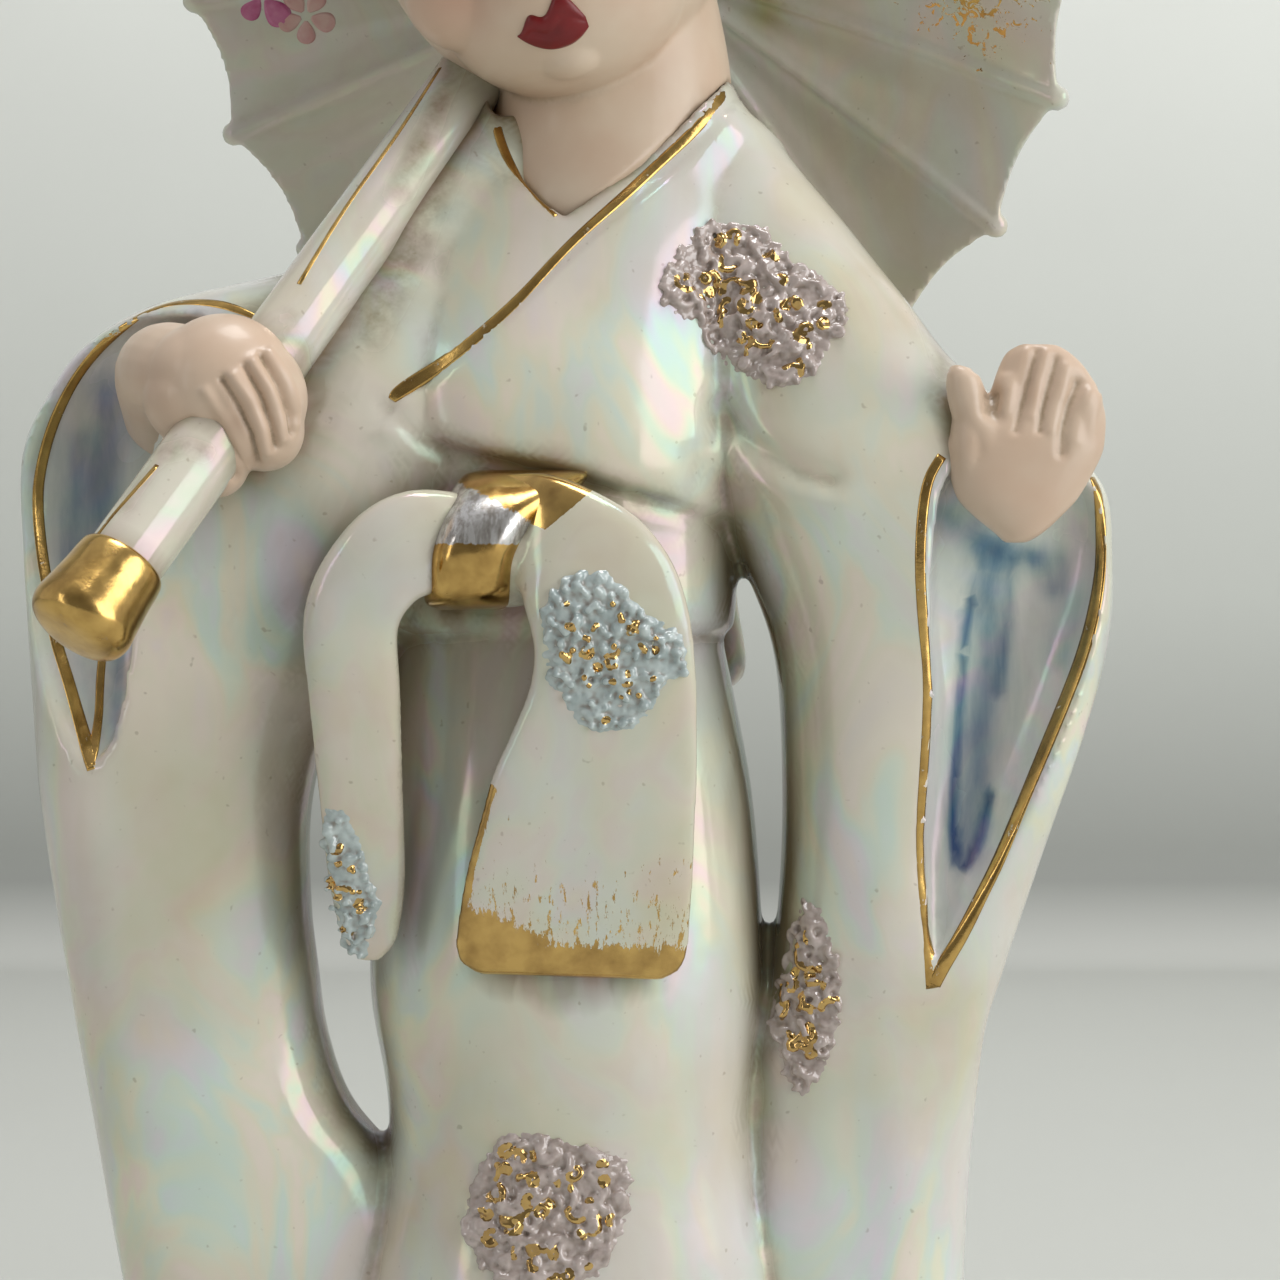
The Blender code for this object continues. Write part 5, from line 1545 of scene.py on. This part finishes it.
def blossom(px, py, size, turn):
    """Five brushed petals around a point on the canopy, each with its own length."""
    strokes = []
    for petal in range(5):
        angle = turn + petal * 2 * math.pi / 5
        reach = size * (0.85 + 0.15 * math.sin(3 * petal + turn))
        rows = [(px + share * reach * math.cos(angle), py + share * reach * math.sin(angle), width * reach)
                for share, width in ((0.18, 0.10), (0.45, 0.44), (0.75, 0.56), (0.94, 0.36), (1.0, 0.08))]
        strokes.append(painted_line("petal", canopy_tree, rows, lift=0.00005))
    return strokes


# Petals on the canopy: colour, its two tones, and each flower's px, py, size and turn
PETALS = (
    ("magenta", ((0.46, 0.075, 0.22), (0.60, 0.20, 0.36)), ((262, -6, 40, 0.9), (170, -120, 40, 0.2))),
    ("rose", ((0.58, 0.28, 0.27), (0.64, 0.42, 0.38)), ((306, 16, 34, 0.3), (215, -64, 34, 1.0))),
)
for colour_name, tones, flowers in PETALS:
    petals = join("petals_" + colour_name, [stroke for flower in flowers for stroke in blossom(*flower)])
    dressed(petals, enamel("paint_" + colour_name, *tones, 330.0))

pink = crumb_glaze("pink_crumbs", (0.52, 0.44, 0.41), (0.36, 0.29, 0.26))
blue = crumb_glaze("blue_crumbs", (0.54, 0.61, 0.60), (0.36, 0.43, 0.43))
for number, (name, outline) in enumerate(PATCHES.items()):
    on_sash = name.endswith("tail")
    crumbs = make_crumbs(name, sash_tree if on_sash else robe_tree, outline, 11 + number, not on_sash)
    dressed(crumbs, blue if on_sash else pink)


def make_stage():
    """Floor and wall in one sheet, with a small curve between them, and painted shade darkest where the curve
    rises into the wall.
    """
    profile = [(-1.2, 0.0), (0.60, 0.0)]
    bend = 0.04
    profile += [(0.605 + bend * math.sin(a), bend * (1 - math.cos(a)))
                for a in (math.pi / 2 * k / 16 for k in range(17))]
    profile += [(0.605 + bend, 2.2)]
    verts = [(x, y, z) for y, z in profile for x in (-2.0, 2.0)]
    faces = [(2 * k, 2 * k + 1, 2 * k + 3, 2 * k + 2) for k in range(len(profile) - 1)]
    made = mesh_object("stage", verts, faces)
    bpy.context.scene.collection.objects.link(made)
    scratch.objects.unlink(made)
    smooth_shading(made)
    glaze = Glaze("stage")
    apart = glaze.node("ShaderNodeSeparateXYZ")
    glaze.put(apart.inputs[0], glaze.place)
    # Painted shade: dark where the curve rises into the wall, the wall lighter upwards
    wall = glaze.ramp(glaze.reach(apart.outputs["Z"], -0.02, 0.38),
                      ((0.0, (0.62, 0.63, 0.59)), (0.06, (0.58, 0.59, 0.555)), (0.12, (0.33, 0.34, 0.32)),
                       (0.38, (0.58, 0.60, 0.565)), (1.0, (0.86, 0.88, 0.84))))
    patchy = glaze.mix(glaze.reach(glaze.noise(7.0, 2.0), 0.3, 0.7, 0.0, 0.10), wall, (0.50, 0.50, 0.48))
    glaze.set(Base_Color=patchy, Roughness=0.8)
    made.data.materials.append(glaze.material)


def lamp(name, place, size, power, colour=(1.0, 1.0, 1.0)):
    """A rectangular lamp that faces the figurine's middle."""
    light = bpy.data.lights.new(name, "AREA")
    light.shape = "RECTANGLE"
    light.size, light.size_y = size
    light.energy = power
    light.color = colour
    made = bpy.data.objects.new(name, light)
    made.location = place
    made.rotation_euler = (Vector((0, 0, 0.12)) - Vector(place)).to_track_quat("-Z", "Y").to_euler()
    bpy.context.scene.collection.objects.link(made)


make_stage()
lamp("window", (-1.00, -0.80, 0.38), (0.14, 0.80), 1.1, (1.0, 0.99, 0.97))
lamp("ceiling", (0.12, -0.10, 1.20), (0.50, 0.50), 6.3)
lamp("right_side", (1.05, -0.62, 0.46), (0.95, 0.95), 9.5)

# The room: darker behind the viewer in what the glaze mirrors, and plain behind the figurine
world = bpy.data.worlds.new("studio")
world.use_nodes = True
sky = world.node_tree.nodes
links = world.node_tree.links
way = sky.new("ShaderNodeTexCoord")
apart = sky.new("ShaderNodeSeparateXYZ")
links.new(way.outputs["Generated"], apart.inputs[0])
room = sky.new("ShaderNodeMapRange")
room.inputs["From Min"].default_value = -0.85
room.inputs["From Max"].default_value = -0.10
links.new(apart.outputs["Y"], room.inputs["Value"])
tint = sky.new("ShaderNodeMix")
tint.data_type = "RGBA"
tint.inputs[6].default_value = (0.35, 0.345, 0.325, 1.0)
tint.inputs[7].default_value = (0.98, 0.98, 1.0, 1.0)
links.new(room.outputs["Result"], tint.inputs[0])
links.new(tint.outputs[2], sky["Background"].inputs["Color"])
sky["Background"].inputs["Strength"].default_value = 0.55
plain = sky.new("ShaderNodeBackground")
plain.inputs["Color"].default_value = (0.62, 0.63, 0.61, 1.0)
light_path = sky.new("ShaderNodeLightPath")
either = sky.new("ShaderNodeMixShader")
links.new(light_path.outputs["Is Camera Ray"], either.inputs[0])
links.new(sky["Background"].outputs[0], either.inputs[1])
links.new(plain.outputs[0], either.inputs[2])
links.new(either.outputs[0], sky["World Output"].inputs["Surface"])
bpy.context.scene.world = world

camera = bpy.data.objects.new("camera", bpy.data.cameras.new("camera"))
camera.data.lens = LENS
camera.data.sensor_width = SENSOR_WIDTH
camera.location = CAMERA
camera.rotation_euler = (math.radians(90), 0, 0)
bpy.context.scene.collection.objects.link(camera)
bpy.context.scene.camera = camera
bpy.context.scene.view_settings.view_transform = "Standard"

bpy.data.collections.remove(scratch)
